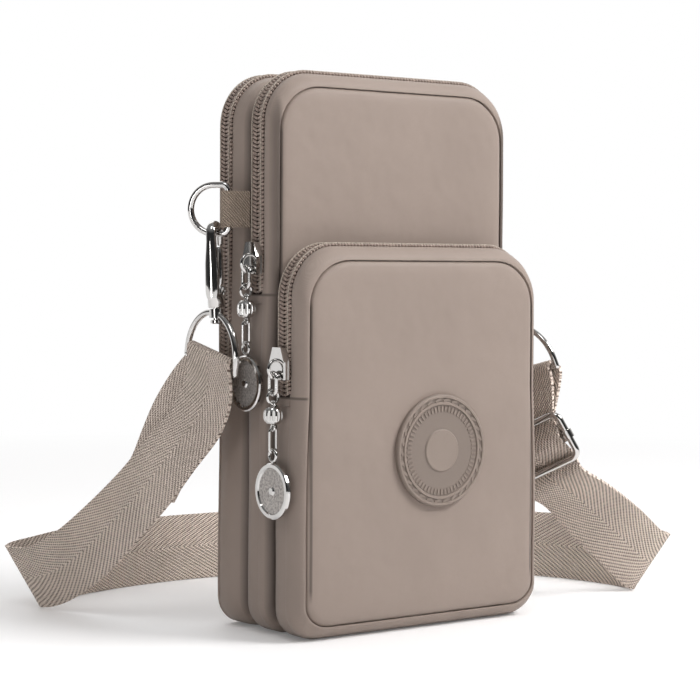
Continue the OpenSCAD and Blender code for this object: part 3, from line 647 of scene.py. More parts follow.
def soften(obj: bpy.types.Object, move: Callable[[Vector], Vector]) -> None:
    """Moves each point by given rules, in millimetres."""
    for vertex in obj.data.vertices:
        vertex.co = vertex.co + move(vertex.co / MM) * MM
    obj.data.update()


def share(value: float) -> float:
    """Keeps a share between 0 and 1."""
    return min(1, max(0, value))


def hump(value: float, low: float, high: float) -> float:
    """Gives 0 at both ends of a span and 1 in its middle."""
    if not low < value < high:
        return 0
    return math.sin(math.pi * (value - low) / (high - low))


@dataclass
class Compartment:
    """One sewn compartment: the strip behind its zip, and its outer panel with the strip that opens.

    Seam, zip_in, zip_out and panel are stations from front to back. The zip's end and the fold are heights.
    """

    name: str
    outline: Outline
    side: Side
    seam: float
    zip_in: float
    zip_out: float
    panel: float
    zip_end: float
    fold: float
    flap: str
    fixed_nodes: tuple[str, ...]
    flap_nodes: tuple[str, ...]
    crease: float = 4.2
    puff: float = 0.3
    drop: float = 2.4
    drop_run: float = 36
    rise: float = 2.6
    rise_run: float = 26
    lobe: float = 2.1
    lobe_run: float = 45
    hem: float = 0.55
    hem_lines: tuple[float, ...] = (0, 0.4, 2.6, 3.0)
    corner: float = 1.3
    cloth_wall: float = 1.0
    # strength of the painted shade on the flank below the zip's end, for a front compartment
    shade: float = 0.13

    def __post_init__(self) -> None:
        """Makes the compartment's cloth, with painted shade at its own seams and creases, and, on a front
        compartment, painted shade on the flank below the zip's end.
        """
        straight = self.outline.height - self.outline.top_r
        shade = self.shade if self.side is Side.FRONT else 0
        self.cloth = SatinNylon(self.name + "_nylon", self.zip_end, straight, shade).make()

    def sewn(self, obj: bpy.types.Object) -> bpy.types.Object:
        """Gives a shaped shell its thickness and its cloth."""
        soften(obj, self.sag)
        wall(obj, self.cloth_wall)
        keep_rest(obj)
        return smooth(dress(obj, self.cloth), 50)

    def gusset(self) -> bpy.types.Object:
        """Builds the fixed strip: shallow above the zip's end, and full depth below."""
        s = self.side.value
        depth = abs(self.zip_in - self.seam)
        chain = abs(self.zip_out - self.zip_in)
        steps = [(0, chain * 0.5), (0, chain * 0.5), (self.crease * 0.05, depth * 0.4),
                 (self.crease * 0.15, depth * 0.3), (self.crease * 0.3, depth * 0.2),
                 (self.crease * 0.5, depth * 0.1)]
        obj = self.outline.loft(self.name + "_gusset_cloth", self.zip_out, Side(-s), 0, steps)
        remove(obj, lambda p: abs(p.y - self.seam) < 0.05)
        for z in self.hem_lines:
            cut(obj, Vector((0, 0, self.zip_end - z)), Vector((0, 0, 1)), drop=False)
        remove(obj, lambda p: s * (p.y - self.zip_in) > 0.05 and p.z > self.zip_end + 0.05)
        self.sewn(obj)
        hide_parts(*self.fixed_nodes)
        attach(obj, "pouch")
        return obj

    def front(self) -> bpy.types.Object:
        """Builds the outer panel and the strip from the zip to it, as one soft piece across the fold."""
        depth = abs(self.panel - self.zip_out)
        steps = [(-0.3, 0.15 * depth), (-0.1, 0.2 * depth), (0.3, 0.25 * depth), (0.9, 0.25 * depth),
                 (1.1, 0.15 * depth), (0.6, 0), (0.2, -0.6), (0.2, -0.5), (0.2, 0.5), (0.2, 0.6),
                 (0.5, 0.4), (1.2, 0.3), (2.2, 0.2), (3.4, 0.1), (4.6, 0.1)]
        obj = self.outline.loft(self.name + "_panel_cloth", self.zip_out, self.side, 0, steps)
        last = self.zip_out + self.side.value * sum(grow for _, grow in steps)
        upright = [((x * MM, 0, 0), (1, 0, 0)) for x in range(-30, 31, 10)]
        level = [((0, 0, z * MM), (0, 0, 1)) for z in range(20, int(self.outline.height) - 14, 8)]
        with editing(obj):
            for at, normal in upright + level:
                if pick(obj, "FACE", lambda p: abs(p.y - last) < 0.02):
                    bpy.ops.mesh.bisect(plane_co=at, plane_no=normal)
        cut(obj, Vector((0, 0, self.fold)), Vector((0, 0, 1)), drop=False)
        soften(obj, self.swell)
        soften(obj, self.sink)
        self.sewn(obj)
        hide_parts(*self.flap_nodes)
        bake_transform(obj)
        return obj

    def swell(self, p: Vector) -> Vector:
        """Swells the middle of the panel."""
        out = hump(p.x, -46, 46) ** 0.6 * hump(p.z, 3, self.outline.height - 3) ** 0.6
        near = share(self.side.value * (p.y - self.panel) / 0.8)
        return Vector((0, self.side.value * self.puff * out * near, 0))

    def sink(self, p: Vector) -> Vector:
        """Draws the panel's top and base in, as the strip round it slopes towards the seam."""
        high = share((p.z - self.outline.height + self.drop_run) / self.drop_run)
        low = share((self.rise_run - p.z) / self.rise_run)
        return Vector((0, 0, (self.rise * low * low - self.drop * high * high) * self.ahead(p)))

    def ahead(self, p: Vector) -> float:
        """Gives how far a point lies from the zip towards the panel, from 0 to 1."""
        return share((p.y - self.zip_out) / (self.panel - self.zip_out))

    def sag(self, p: Vector) -> Vector:
        """Lets the sides belly out below the zip's end, and sag a little, as soft cloth does."""
        side = 0.4 * math.sin(p.z / 17 + self.seam) * hump(p.z, 12, self.outline.height - 20)
        belly = share((self.zip_end - p.z) / self.lobe_run) * share(p.z / 10)
        side += self.lobe * belly * hump((p.y - self.seam) / (self.panel - self.seam), 0, 1)
        side += self.corner * belly * self.ahead(p) ** 2
        if -2.8 < p.z - self.zip_end < 0.05 and self.side.value * (p.y - self.zip_out) < 0.05:
            side += self.hem
        return Vector((math.copysign(side, p.x) if abs(p.x) > 40 else 0, 0, 0))


@dataclass
class Zip:
    """Both rows of a zip: coil turns on tape, with a line of thread along each row."""

    name: str
    outline: Outline
    fixed: float
    flap: float
    zip_end: float
    fold: float
    body: str
    rise: float = 0.35
    turn: float = 1.32
    row: float = 2.9
    coil_radius: float = 0.52
    tilt: float = 22
    stitch_step: float = 1.9
    thread_rise: float = 0.62
    thread_out: float = 0.75

    def path(self, offset: float) -> bpy.types.Object:
        """Makes the zip's line as a curve lying flat, from one lower end to the other."""
        line = self.outline.face("zip_line", 0, Side.FRONT, -offset, dense=False)
        with editing(line):
            bpy.ops.mesh.select_all(action="SELECT")
            bpy.ops.mesh.delete(type="ONLY_FACE")
            bpy.ops.mesh.select_all(action="SELECT")
            bpy.ops.mesh.bisect(plane_co=(0, 0, self.zip_end * MM), plane_no=(0, 0, -1), clear_outer=True)
        line.rotation_euler = (-math.pi / 2, 0, 0)
        settle(line)
        activate(line)
        bpy.ops.object.convert(target="CURVE")
        line.data.dimensions = "2D"
        return line

    def length(self, offset: float) -> float:
        """Gives the line's length in millimetres."""
        o = self.outline
        upright, level = o.height - o.top_r - self.zip_end, o.width - 2 * o.top_r
        return 2 * upright + math.pi * (o.top_r + offset) + level

    def along(self, piece: bpy.types.Object, offset: float, pitch: float, y: float) -> bpy.types.Object:
        """Repeats a piece along the zip's line.

        Args:
            piece: the shape to repeat, drawn at the origin with X along the line.
            offset: distance of the line outside the outline.
            pitch: step from one shape to the next.
            y: depth station of the row.

        Returns:
            The row as one mesh.
        """
        line = self.path(offset)
        count = int(self.length(offset) / pitch)
        array = piece.modifiers.new("row", "ARRAY")
        array.count = count
        array.use_relative_offset = False
        array.use_constant_offset = True
        array.constant_offset_displace = (self.length(offset) / count * MM, 0, 0)
        bend = piece.modifiers.new("line", "CURVE")
        bend.object = line
        apply_all(piece)
        bpy.data.objects.remove(line)
        piece.rotation_euler = (math.pi / 2, 0, 0)
        piece.location = (0, y * MM, 0)
        return settle(piece)

    def coil_turn(self, tilt: float) -> bpy.types.Object:
        """Makes one turn of the coil: a plump bar with rounded ends."""
        deselect()
        bpy.ops.mesh.primitive_cylinder_add(vertices=8, radius=self.coil_radius * MM, depth=self.row * MM)
        obj = settle(bpy.context.active_object)
        with editing(obj):
            bpy.ops.mesh.select_mode(type="FACE")
            for z in (-1, 1):
                pick(obj, "FACE", lambda p: z * p.z > self.row / 2 - 0.01)
                bpy.ops.mesh.inset(thickness=0.3 * MM, depth=0.0)
                bpy.ops.transform.translate(value=(0, 0, z * 0.22 * MM))
        obj.rotation_euler = (0, math.radians(tilt), 0)
        return settle(obj)

    def rows(self, finishes: Finishes) -> list[bpy.types.Object]:
        """Builds the coil rows, the thread over each, and the tapes."""
        made = []
        sign = 1 if self.fixed > self.flap else -1
        for part, y, outer in (("fixed", self.fixed, sign), ("flap", self.flap, -sign)):
            middle = y + self.row / 2
            coil = self.along(self.coil_turn(self.tilt * outer), self.rise, self.turn, middle)
            smooth(dress(coil, finishes.coil), 60)
            coil.name = f"{self.name}_coil_{part}_turns"
            seam = self.along(self.stitch(), self.rise + self.thread_rise, self.stitch_step,
                              middle + outer * self.thread_out)
            smooth(dress(seam, finishes.thread), 60)
            seam.name = f"{self.name}_coil_{part}_thread"
            tape = self.tape(y, finishes)
            tape.name = f"{self.name}_tape_{part}_cloth"
            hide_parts(f"{self.name}_coil_{part}")
            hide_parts(f"{self.name}_tape_{part}")
            for piece in (coil, seam, tape):
                if part == "fixed":
                    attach(piece, "pouch")
                else:
                    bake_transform(piece)
                made.append(piece)
        return made

    def stitch(self) -> bpy.types.Object:
        """Makes one stitch of the thread that holds the coil."""
        deselect()
        bpy.ops.mesh.primitive_cylinder_add(vertices=6, radius=0.26 * MM, depth=1.75 * MM,
                                            rotation=(0, math.pi / 2, 0))
        obj = settle(bpy.context.active_object)
        with editing(obj):
            for x in (-1, 1):
                pick(obj, "FACE", lambda p: x * p.x > 0.8)
                bpy.ops.mesh.inset(thickness=0.14 * MM, depth=0.0)
                bpy.ops.transform.translate(value=(x * 0.08 * MM, 0, -0.1 * MM))
        return obj

    def tape(self, y: float, finishes: Finishes) -> bpy.types.Object:
        """Makes one tape under its row of coil."""
        obj = self.outline.face("tape", y - 0.28, Side.BACK, 0.55)
        with editing(obj):
            bpy.ops.mesh.select_all(action="SELECT")
            bpy.ops.mesh.extrude_region_move(
                TRANSFORM_OT_translate={"value": (0, (self.row + 0.56) * MM, 0)})
        remove(obj, lambda p: abs(p.x) < 1 and 20 < p.z < self.outline.height - 20)
        cut(obj, Vector((0, 0, self.zip_end)), Vector((0, 0, -1)))
        wall(obj, 0.5)
        return smooth(dress(obj, finishes.tape), 50)


# ---- linings ----


@dataclass
class Lining:
    """A thin open bag of lining cloth inside a compartment."""

    name: str
    outline: Outline
    y0: float
    y1: float
    top: float
    inset: float = 4.6
    gap: float = 0.4

    def build(self, finishes: Finishes) -> bpy.types.Object:
        """Builds the bag, open at its top."""
        obj = self.outline.face(self.name + "_cloth", self.y0 + self.gap, Side.BACK, self.inset)
        deep = self.y1 - self.y0 - 2 * self.gap
        with editing(obj):
            bpy.ops.mesh.select_all(action="SELECT")
            bpy.ops.mesh.extrude_region_move(TRANSFORM_OT_translate={"value": (0, deep * MM, 0)})
        cut(obj, Vector((0, 0, self.top)), Vector((0, 0, 1)))
        with editing(obj):
            bpy.ops.mesh.select_all(action="SELECT")
            bpy.ops.mesh.normals_make_consistent(inside=False)
        wall(obj, 0.4)
        smooth(dress(obj, finishes.lining), 40)
        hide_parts(self.name)
        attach(obj, "pouch")
        return obj


# ---- webbing ----


Point = tuple[float, float, float]

# Where the right tab leaves the pouch, its turn from the side, and how far it droops, in degrees.
# The left tab is its mirror image, and doesn't droop.
TAB_AT: Point = (50, 6, 140)
TAB_TURN = 150
RIGHT_DROOP = 40


def square_to(v: Sequence[float], axis: Vector) -> Vector:
    """Gives the direction of v square to an axis."""
    vector = Vector(v)
    return (vector - vector.dot(axis) * axis).normalized()


def rounded(line: Sequence[Vector], steps: int) -> list[Vector]:
    """Rounds a line through its points."""
    made = []
    last = len(line) - 1
    for i in range(last):
        a, b = line[max(i - 1, 0)], line[i]
        c, d = line[i + 1], line[min(i + 2, last)]
        for k in range(steps):
            t = k / steps
            made.append(0.5 * (2 * b + (c - a) * t + (2 * a - 5 * b + 4 * c - d) * t * t
                               + (3 * b - a - 3 * c + d) * t ** 3))
    return made + [line[last]]


def travelled(line: Sequence[Vector]) -> list[float]:
    """Gives the distance along a line to each of its points."""
    lengths = [0.0]
    for before, after in zip(line, line[1:]):
        lengths.append(lengths[-1] + (after - before).length)
    return lengths


@dataclass(frozen=True)
class Band:
    """Webbing made from rows of points across it, with its UV map "weave" in metres."""

    width: float
    thickness: float
    edge: float

    def build(self, name: str, rows: Sequence[Sequence[Vector]],
              travel: Sequence[float]) -> bpy.types.Object:
        """Makes the band.

        Args:
            name: the piece's name.
            rows: points across the band, in millimetres, each row with as many.
            travel: each row's distance along the band.

        Returns:
            The band, with its thickness and rounded edges.
        """
        count = len(rows[0])
        faces = [(i * count + k, i * count + k + 1, (i + 1) * count + k + 1, (i + 1) * count + k)
                 for i in range(len(rows) - 1) for k in range(count - 1)]
        mesh = bpy.data.meshes.new(name)
        mesh.from_pydata([tuple(point * MM) for row in rows for point in row], [], faces)
        layer = mesh.uv_layers.new(name="weave")
        for loop in mesh.loops:
            row, place = divmod(loop.vertex_index, count)
            layer.data[loop.index].uv = (place / (count - 1) * self.width * MM, travel[row] * MM)
        obj = bpy.data.objects.new(name, mesh)
        bpy.context.scene.collection.objects.link(obj)
        thick = obj.modifiers.new("webbing", "SOLIDIFY")
        thick.thickness = self.thickness * MM
        thick.offset = 0
        rim = obj.modifiers.new("edge", "BEVEL")
        rim.width = self.edge * MM
        rim.segments = 2
        rim.angle_limit = math.radians(60)
        return apply_all(obj)


# ---- strap ----


@dataclass
class Strap:
    """Webbing between two edge lines, which are those of the part's own strap."""

    width: float = 25
    thickness: float = 1.3
    left_low: tuple[Point, ...] = (
        (-66.8, 27, 42), (-64.8, 24, 49), (-62.5, 21.5, 58), (-60.5, 18.5, 67.5), (-58, 14.5, 76),
        (-56.8, 9, 84.5), (-57.1, 3.6, 88.6), (-58, 3.2, 90), (-59.2, 2.9, 90.4), (-60.4, 2.6, 90),
        (-61.4, 2.2, 88.6), (-62, -0.5, 78), (-63, 4, 66.5), (-66, 15.5, 54), (-68.5, 26.5, 42),
        (-72, 40, 29), (-76, 55, 15.5), (-80, 70, 5.5), (-83, 80, 1.6), (-85, 84, 0.8))
    left_high: tuple[Point, ...] = (
        (-72.3, 49.5, 51), (-70, 47, 57), (-67.5, 44.5, 66), (-64.5, 41.5, 75.5), (-60.5, 37, 85),
        (-57, 32, 92), (-57.1, 27.6, 94), (-58, 27.1, 95.2), (-59.2, 26.7, 95.6), (-60.4, 26.4, 95.2),
        (-61.4, 26, 94), (-63.6, 23.5, 84.5), (-67, 28, 73), (-70.5, 38.5, 62), (-74, 49, 51),
        (-79.5, 61.5, 39), (-85, 74, 28.5), (-89.5, 85.5, 22.5), (-92, 91.5, 21.5), (-93.5, 95, 22))
    run_low: tuple[Point, ...] = (
        (-83, 88, 0.6), (-76, 93.5, 0.3), (-58, 103, 0.3), (-38, 109.5, 0.3), (-16, 112, 0.3),
        (6, 111.5, 0.3), (30, 107.5, 0.3), (54, 98.5, 0.3), (76, 85, 0.3), (94, 67, 0.3),
        (107, 48, 0.3), (115, 28, 0.3), (118.5, 10, 0.3), (117.5, -1, 0.6))
    run_high: tuple[Point, ...] = (
        (-91, 98.5, 22.5), (-82, 101, 23), (-62, 109.5, 24), (-40, 115.5, 24), (-17, 117.5, 24.4),
        (6, 117, 24.4), (31, 113, 24.4), (56.5, 103.5, 24.4), (79.5, 89, 24.4), (98.5, 70, 24.4),
        (112, 50, 24.4), (120.5, 28, 24.4), (124.5, 7.5, 23.8), (126, -7.5, 22.5))
    right_low: tuple[Point, ...] = (
        (115.5, -6.5, 0.8), (111, -6.5, 2.6), (101, -3, 12), (90, 0, 22.5), (79.5, 3, 33))
    right_high: tuple[Point, ...] = (
        (126.5, -14.5, 21.8), (121, -16, 23), (111.5, -16, 30.5), (100, -17.5, 37.5), (88.5, -18.5, 44))
    adjuster_at: Point = (69, -2.3, 55.2)
    wire: float = 1.1
    frame_height: float = 20
    frame_wire: float = 1.3
    gap: float = 0.3
    ring_reach: float = 5.2
    ring_drop: float = 8
    ring_slack: float = 0.9
    hook_length: float = 26.4
    eye_radius: float = 14.6
    eye_leg: float = 2.6

    def edges(self) -> tuple[list[Vector], list[Vector]]:
        """Gives both edge lines from the sewn tail to the adjuster's bar."""
        up = Vector((-38, 30, 87)).normalized()
        side = square_to((-33, 84, -43), up)
        face = up.cross(side)
        down = Vector((27, -22, -94)).normalized()
        turn, droop = math.radians(TAB_TURN), math.radians(RIGHT_DROOP)
        reach = Tab.reach + self.ring_reach
        out = reach * math.cos(droop) + self.ring_slack
        hang = Vector((TAB_AT[0] - out * math.cos(turn), TAB_AT[1] + out * math.sin(turn),
                       TAB_AT[2] - reach * math.sin(droop) - self.ring_drop))
        bar = hang + (self.hook_length + self.eye_radius + self.eye_leg) * down
        bar_dir = square_to((0, -100, 0), down)
        out_dir = bar_dir.cross(down)
        lap = self.wire + self.gap + self.thickness / 2
        bar_h = self.frame_height / 2 - self.frame_wire
        weave = [(-bar_h - 5, -1.6), (-bar_h, -lap - 0.2), (-bar_h / 2, 0.1), (-1.5, lap - 0.1),
                 (0, lap + 0.1), (1.5, lap - 0.1), (bar_h / 2, 0.1), (bar_h, -lap - 0.2)]
        back = [(bar_h, -lap - self.thickness - 0.8), (bar_h / 2, -lap - 1.1), (1.5, -lap - 0.1),
                (-2.5, -lap - 0.1)]
        round_bar = [(-lap, -3), (-lap, 0), (-lap * 0.7, lap * 0.7), (0, lap), (lap * 0.7, lap * 0.7),
                     (lap, 0), (lap + 0.6, -3)]
        at = Vector(self.adjuster_at)

        def in_frame(w: float, h: float, n: float) -> Vector:
            """Gives a point from the adjuster's own measures."""
            return at + w * side + h * up + n * face

        def at_bar(w: float, n: float, u: float) -> Vector:
            """Gives a point from the right eye's bar."""
            return bar + w * bar_dir + n * out_dir - u * down

        half = self.width / 2
        low = [Vector(p) for p in self.left_low + self.run_low + self.right_low]
        high = [Vector(p) for p in self.left_high + self.run_high + self.right_high]
        low += [in_frame(half, *p) for p in weave] + [at_bar(-half, *p) for p in round_bar]
        high += [in_frame(-half, *p) for p in weave] + [at_bar(half, *p) for p in round_bar]
        low += [in_frame(half, *p) for p in back]
        high += [in_frame(-half, *p) for p in back]
        return low, high

    def build(self, finishes: Finishes) -> bpy.types.Object:
        """Builds the webbing between its two edge lines, evened to its own width."""
        low, high = (rounded(line, 5) for line in self.edges())
        middles = [(a + b) / 2 for a, b in zip(low, high)]
        across = 8
        rows = []
        for a, b, middle in zip(low, high, middles):
            half = (b - a).normalized() * self.width / 2
            rows.append([middle + half * (k / across * 2 - 1) for k in range(across + 1)])
        travel = travelled(middles)
        band = Band(self.width, thickness=self.thickness - 0.1, edge=0.35)
        obj = band.build("strap_webbing", rows, travel)
        smooth(dress(obj, finishes.webbing), 60)
        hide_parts("strap")
        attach(obj, "pouch")
        log.info("strap is %.0f mm long", travel[-1])
        return obj


# ---- tabs ----


@dataclass
class Tab:
    """Folded webbing that holds a D-ring: two layers out from the seam and round the ring's bar."""

    side: int
    droop: float
    reach: float = 7.4
    loop: float = 1.45
    thickness: float = 1.3
    width: float = 12

    def place(self) -> Matrix:
        """Gives the turn and the place of the tab at its side of the pouch."""
        x, y, z = TAB_AT
        turn = Matrix.Translation(Vector((-x, y, z))) @ Matrix.Rotation(math.radians(TAB_TURN), 4, "Z")
        turn = turn @ Matrix.Rotation(math.radians(self.droop), 4, "Y")
        return Matrix.Scale(-1, 4, Vector((1, 0, 0))) @ turn if self.side > 0 else turn

    def build(self, finishes: Finishes) -> bpy.types.Object:
        """Builds the tab as a bent band."""
        radius = self.loop + self.thickness / 2
        line = [(0.2, -0.5), (1.6, -0.75), (self.reach * 0.6, -radius * 0.75)]
        for step in range(9):
            angle = math.radians(-110 + 220 * step / 8)
            line.append((self.reach + radius * math.cos(angle), radius * math.sin(angle)))
        line += [(self.reach * 0.6, radius * 0.75), (1.6, 0.75), (0.2, 0.5)]
        smoothed = rounded([Vector((x, y, 0)) for x, y in line], 3)
        travel, turn, across = travelled(smoothed), self.place(), 6
        heights = [(k / across - 0.5) * self.width for k in range(across + 1)]
        rows = [[turn @ Vector((p.x, p.y, z)) for z in heights] for p in smoothed]
        name = "left" if self.side < 0 else "right"
        band = Band(self.width, thickness=self.thickness * 0.9, edge=0.3)
        obj = band.build(f"{name}_tab_webbing", rows, travel)
        with editing(obj):
            bpy.ops.mesh.select_all(action="SELECT")
            bpy.ops.mesh.normals_make_consistent(inside=False)
        smooth(dress(obj, finishes.tab), 60)
        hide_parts(f"{name}_tab")
        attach(obj, "pouch")
        return obj


# ---- snap hooks ----


Ring = tuple[float, float, float]


@dataclass
class SnapHook:
    """Snap hook and its sprung gate, drawn with X towards the gate, Y across and Z up the hook."""

    name: str
    at: Point
    down: Point
    gate_way: Point
    bow: float = 3.4
    bow_drop: float = 0.55
    nose: float = 3.4
    spine: tuple[Ring, ...] = ((-21.5, 1.3, 1.9), (-20, 1.4, 2.3), (-17, 1.4, 2.4), (-10, 1.4, 2.3),
                               (-5.5, 1.4, 1.9), (-3, 1.4, 1.7), (-0.55, 1.4, 1.7))
    foot: tuple[Ring, ...] = ((-24.6, 2.5, 2.4), (-24.2, 2.9, 2.8), (-22.6, 3.3, 2.8), (-21.4, 4.5, 2.6),
                              (-20.3, 4.7, 2.4), (-20.1, 4.4, 2.1))
    stem: tuple[Ring, ...] = ((-29.9, 1.6, 1.6), (-29.6, 2.1, 2.1), (-28.8, 2.1, 2.1), (-28.5, 1.7, 1.7),
                              (-28.5, 1.2, 1.2), (-24.4, 1.2, 1.2))
    latch: tuple[Ring, ...] = ((-19.6, 0.6, 0.6), (-19.3, 0.9, 0.85), (-17.2, 1.1, 0.95), (-16, 1.25, 1.5),
                               (-13.5, 1.25, 1.55), (-11, 1.2, 1.5), (-7.5, 1.1, 1.4), (-5, 0.95, 1.2),
                               (-4.4, 0.7, 0.9))
    hinge: tuple[float, float] = (3.4, -18.8)
    ear_size: tuple[float, float] = (1.45, 0.75)
    ear_out: float = 1.5

    def turned(self, obj: bpy.types.Object, name: str, finishes: Finishes) -> bpy.types.Object:
        """Closes a drawn piece, plates it and hangs it in its place.

        Args:
            obj: the piece, still upright at the origin.
            name: the piece's name.
            finishes: the pouch's finishes.

        Returns:
            The piece in its place.
        """
        with editing(obj):
            bpy.ops.mesh.select_all(action="SELECT")
            bpy.ops.mesh.remove_doubles(threshold=0.00001)
            bpy.ops.mesh.normals_make_consistent(inside=False)
        obj.name = name
        down = Vector(self.down).normalized()
        gate = square_to(self.gate_way, down)
        turn = Matrix((gate, (-down).cross(gate), -down)).transposed()
        obj.matrix_world = Matrix.Translation(Vector(self.at) * MM) @ turn.to_4x4()
        return smooth(dress(settle(obj), finishes.nickel), 40)

    def drawn(self, x: float, rings: Sequence[Ring]) -> bpy.types.Object:
        """Draws an oval out upwards, one ring after another.

        Args:
            x: place of the ovals' middle.
            rings: for each ring its height, half its width and half its depth.

        Returns:
            The closed form.
        """
        deselect()
        bpy.ops.mesh.primitive_circle_add(vertices=16, radius=MM, fill_type="NGON")
        obj = bpy.context.active_object
        low, wide, deep = rings[0]
        with editing(obj):
            bpy.ops.mesh.select_mode(type="FACE")
            bpy.ops.mesh.select_all(action="SELECT")
            bpy.ops.transform.resize(value=(wide, deep, 1), center_override=(0, 0, 0))
            bpy.ops.transform.translate(value=(x * MM, 0, low * MM))
            for high, w, d in rings[1:]:
                bpy.ops.mesh.extrude_region_move(
                    TRANSFORM_OT_translate={"value": (0, 0, (high - low) * MM)})
                bpy.ops.transform.resize(value=(w / wide, d / deep, 1),
                                         center_override=(x * MM, 0, high * MM))
                low, wide, deep = high, w, d
        return obj

    def ear(self, y: float) -> bpy.types.Object:
        """Makes one ear of the gate's hinge, with its rivet."""
        deselect()
        x, z = self.hinge
        radius, thickness = self.ear_size
        bpy.ops.mesh.primitive_cylinder_add(vertices=20, radius=radius * MM, depth=thickness * MM,
                                            location=(x * MM, y * MM, z * MM),
                                            rotation=(math.pi / 2, 0, 0))
        obj = settle(bpy.context.active_object)
        with editing(obj):
            pick(obj, "FACE", lambda p: abs(p.y) > abs(y) + 0.3)
            bpy.ops.mesh.inset(thickness=0.15 * MM, depth=0.12 * MM)
            bpy.ops.mesh.inset(thickness=0.55 * MM, depth=0.0)
            bpy.ops.mesh.inset(thickness=0.1 * MM, depth=0.2 * MM)
            pick(obj, "FACE", lambda p: p.z < z - 1.2)
            bpy.ops.transform.translate(value=(0, 0, -0.9 * MM))
        return obj

    def build(self, finishes: Finishes) -> list[bpy.types.Object]:
        """Builds the hook with its swivel stem, and the gate."""
        hook = self.drawn(-self.bow, self.spine)
        with editing(hook):
            bpy.ops.mesh.select_mode(type="FACE")
            pick(hook, "FACE", lambda p: p.z > -self.bow_drop - 0.01)
            bpy.ops.mesh.spin(steps=14, angle=math.pi, center=(0, 0, -self.bow_drop * MM), axis=(0, -1, 0))
            for step in (0.8, 0.2):
                bpy.ops.mesh.extrude_region_move(
                    TRANSFORM_OT_translate={"value": (0, 0, -self.nose * step * MM)})
            bpy.ops.transform.resize(value=(0.7, 0.7, 1), center_override=(self.bow * MM, 0, 0))
        parts = [hook, self.drawn(0, self.foot), self.drawn(0, self.stem),
                 self.ear(self.ear_out), self.ear(-self.ear_out)]
        hook = self.turned(joined("hook", parts), f"{self.name}_hook_plated", finishes)
        gate = self.drawn(self.hinge[0], self.latch)
        with editing(gate):
            pick(gate, "FACE", lambda p: p.x > self.hinge[0] + 0.8 and -13.6 < p.z < -10.9)
            bpy.ops.mesh.extrude_region_move(TRANSFORM_OT_translate={"value": (0.55 * MM, 0, 0)})
            bpy.ops.transform.resize(value=(1, 0.75, 0.55))
        gate = self.turned(gate, f"{self.name}_gate_plated", finishes)
        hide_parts(f"{self.name}_hook")
        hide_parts(f"{self.name}_gate")
        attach(hook, f"{self.name}_snap")
        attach(gate, f"{self.name}_latch")
        return [hook, gate]


# ---- hardware and patch, carried over with their own finish ----


@dataclass
class Hardware:
    """The rigid nodes of the frame, which keep their shape and get a plated finish."""

    plated: tuple[str, ...] = (
        "left_d_ring", "right_d_ring", "left_eye", "right_eye", "adjuster_frame", "adjuster_bar")
    charms: tuple[str, ...] = ("rear", "middle", "pocket")
    pieces: tuple[str, ...] = ("slider", "pull_ring", "bead", "link", "pendant")
    pendant_radius: float = 9.15
    dish: tuple[float, float] = (1.5, 7.3)

    def build(self, finishes: Finishes) -> None:
        """Plates every metal node, and frosts the dished field of each pendant."""
        for name in self.plated:
            dress(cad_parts[name], finishes.nickel)
        for charm in self.charms:
            for piece in self.pieces:
                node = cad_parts[f"{charm}_{piece}"]
                dress(node, finishes.nickel)
                if piece == "pendant":
                    self.frost(node, finishes)

    def frost(self, node: bpy.types.Object, finishes: Finishes) -> None:
        """Gives the flat field inside a pendant's rim the frosted finish."""
        node.data.materials.append(finishes.frosted)
        points = [v.co for v in node.data.vertices]
        z = min(p.z for p in points) + self.pendant_radius * MM
        y = (min(p.y for p in points) + max(p.y for p in points)) / 2
        inner, outer = self.dish
        for polygon in node.data.polygons:
            away = math.hypot(polygon.center.y - y, polygon.center.z - z) / MM
            if inner < away < outer and abs(polygon.normal.x) > 0.9:
                polygon.material_index = 1


# ---- scene ----


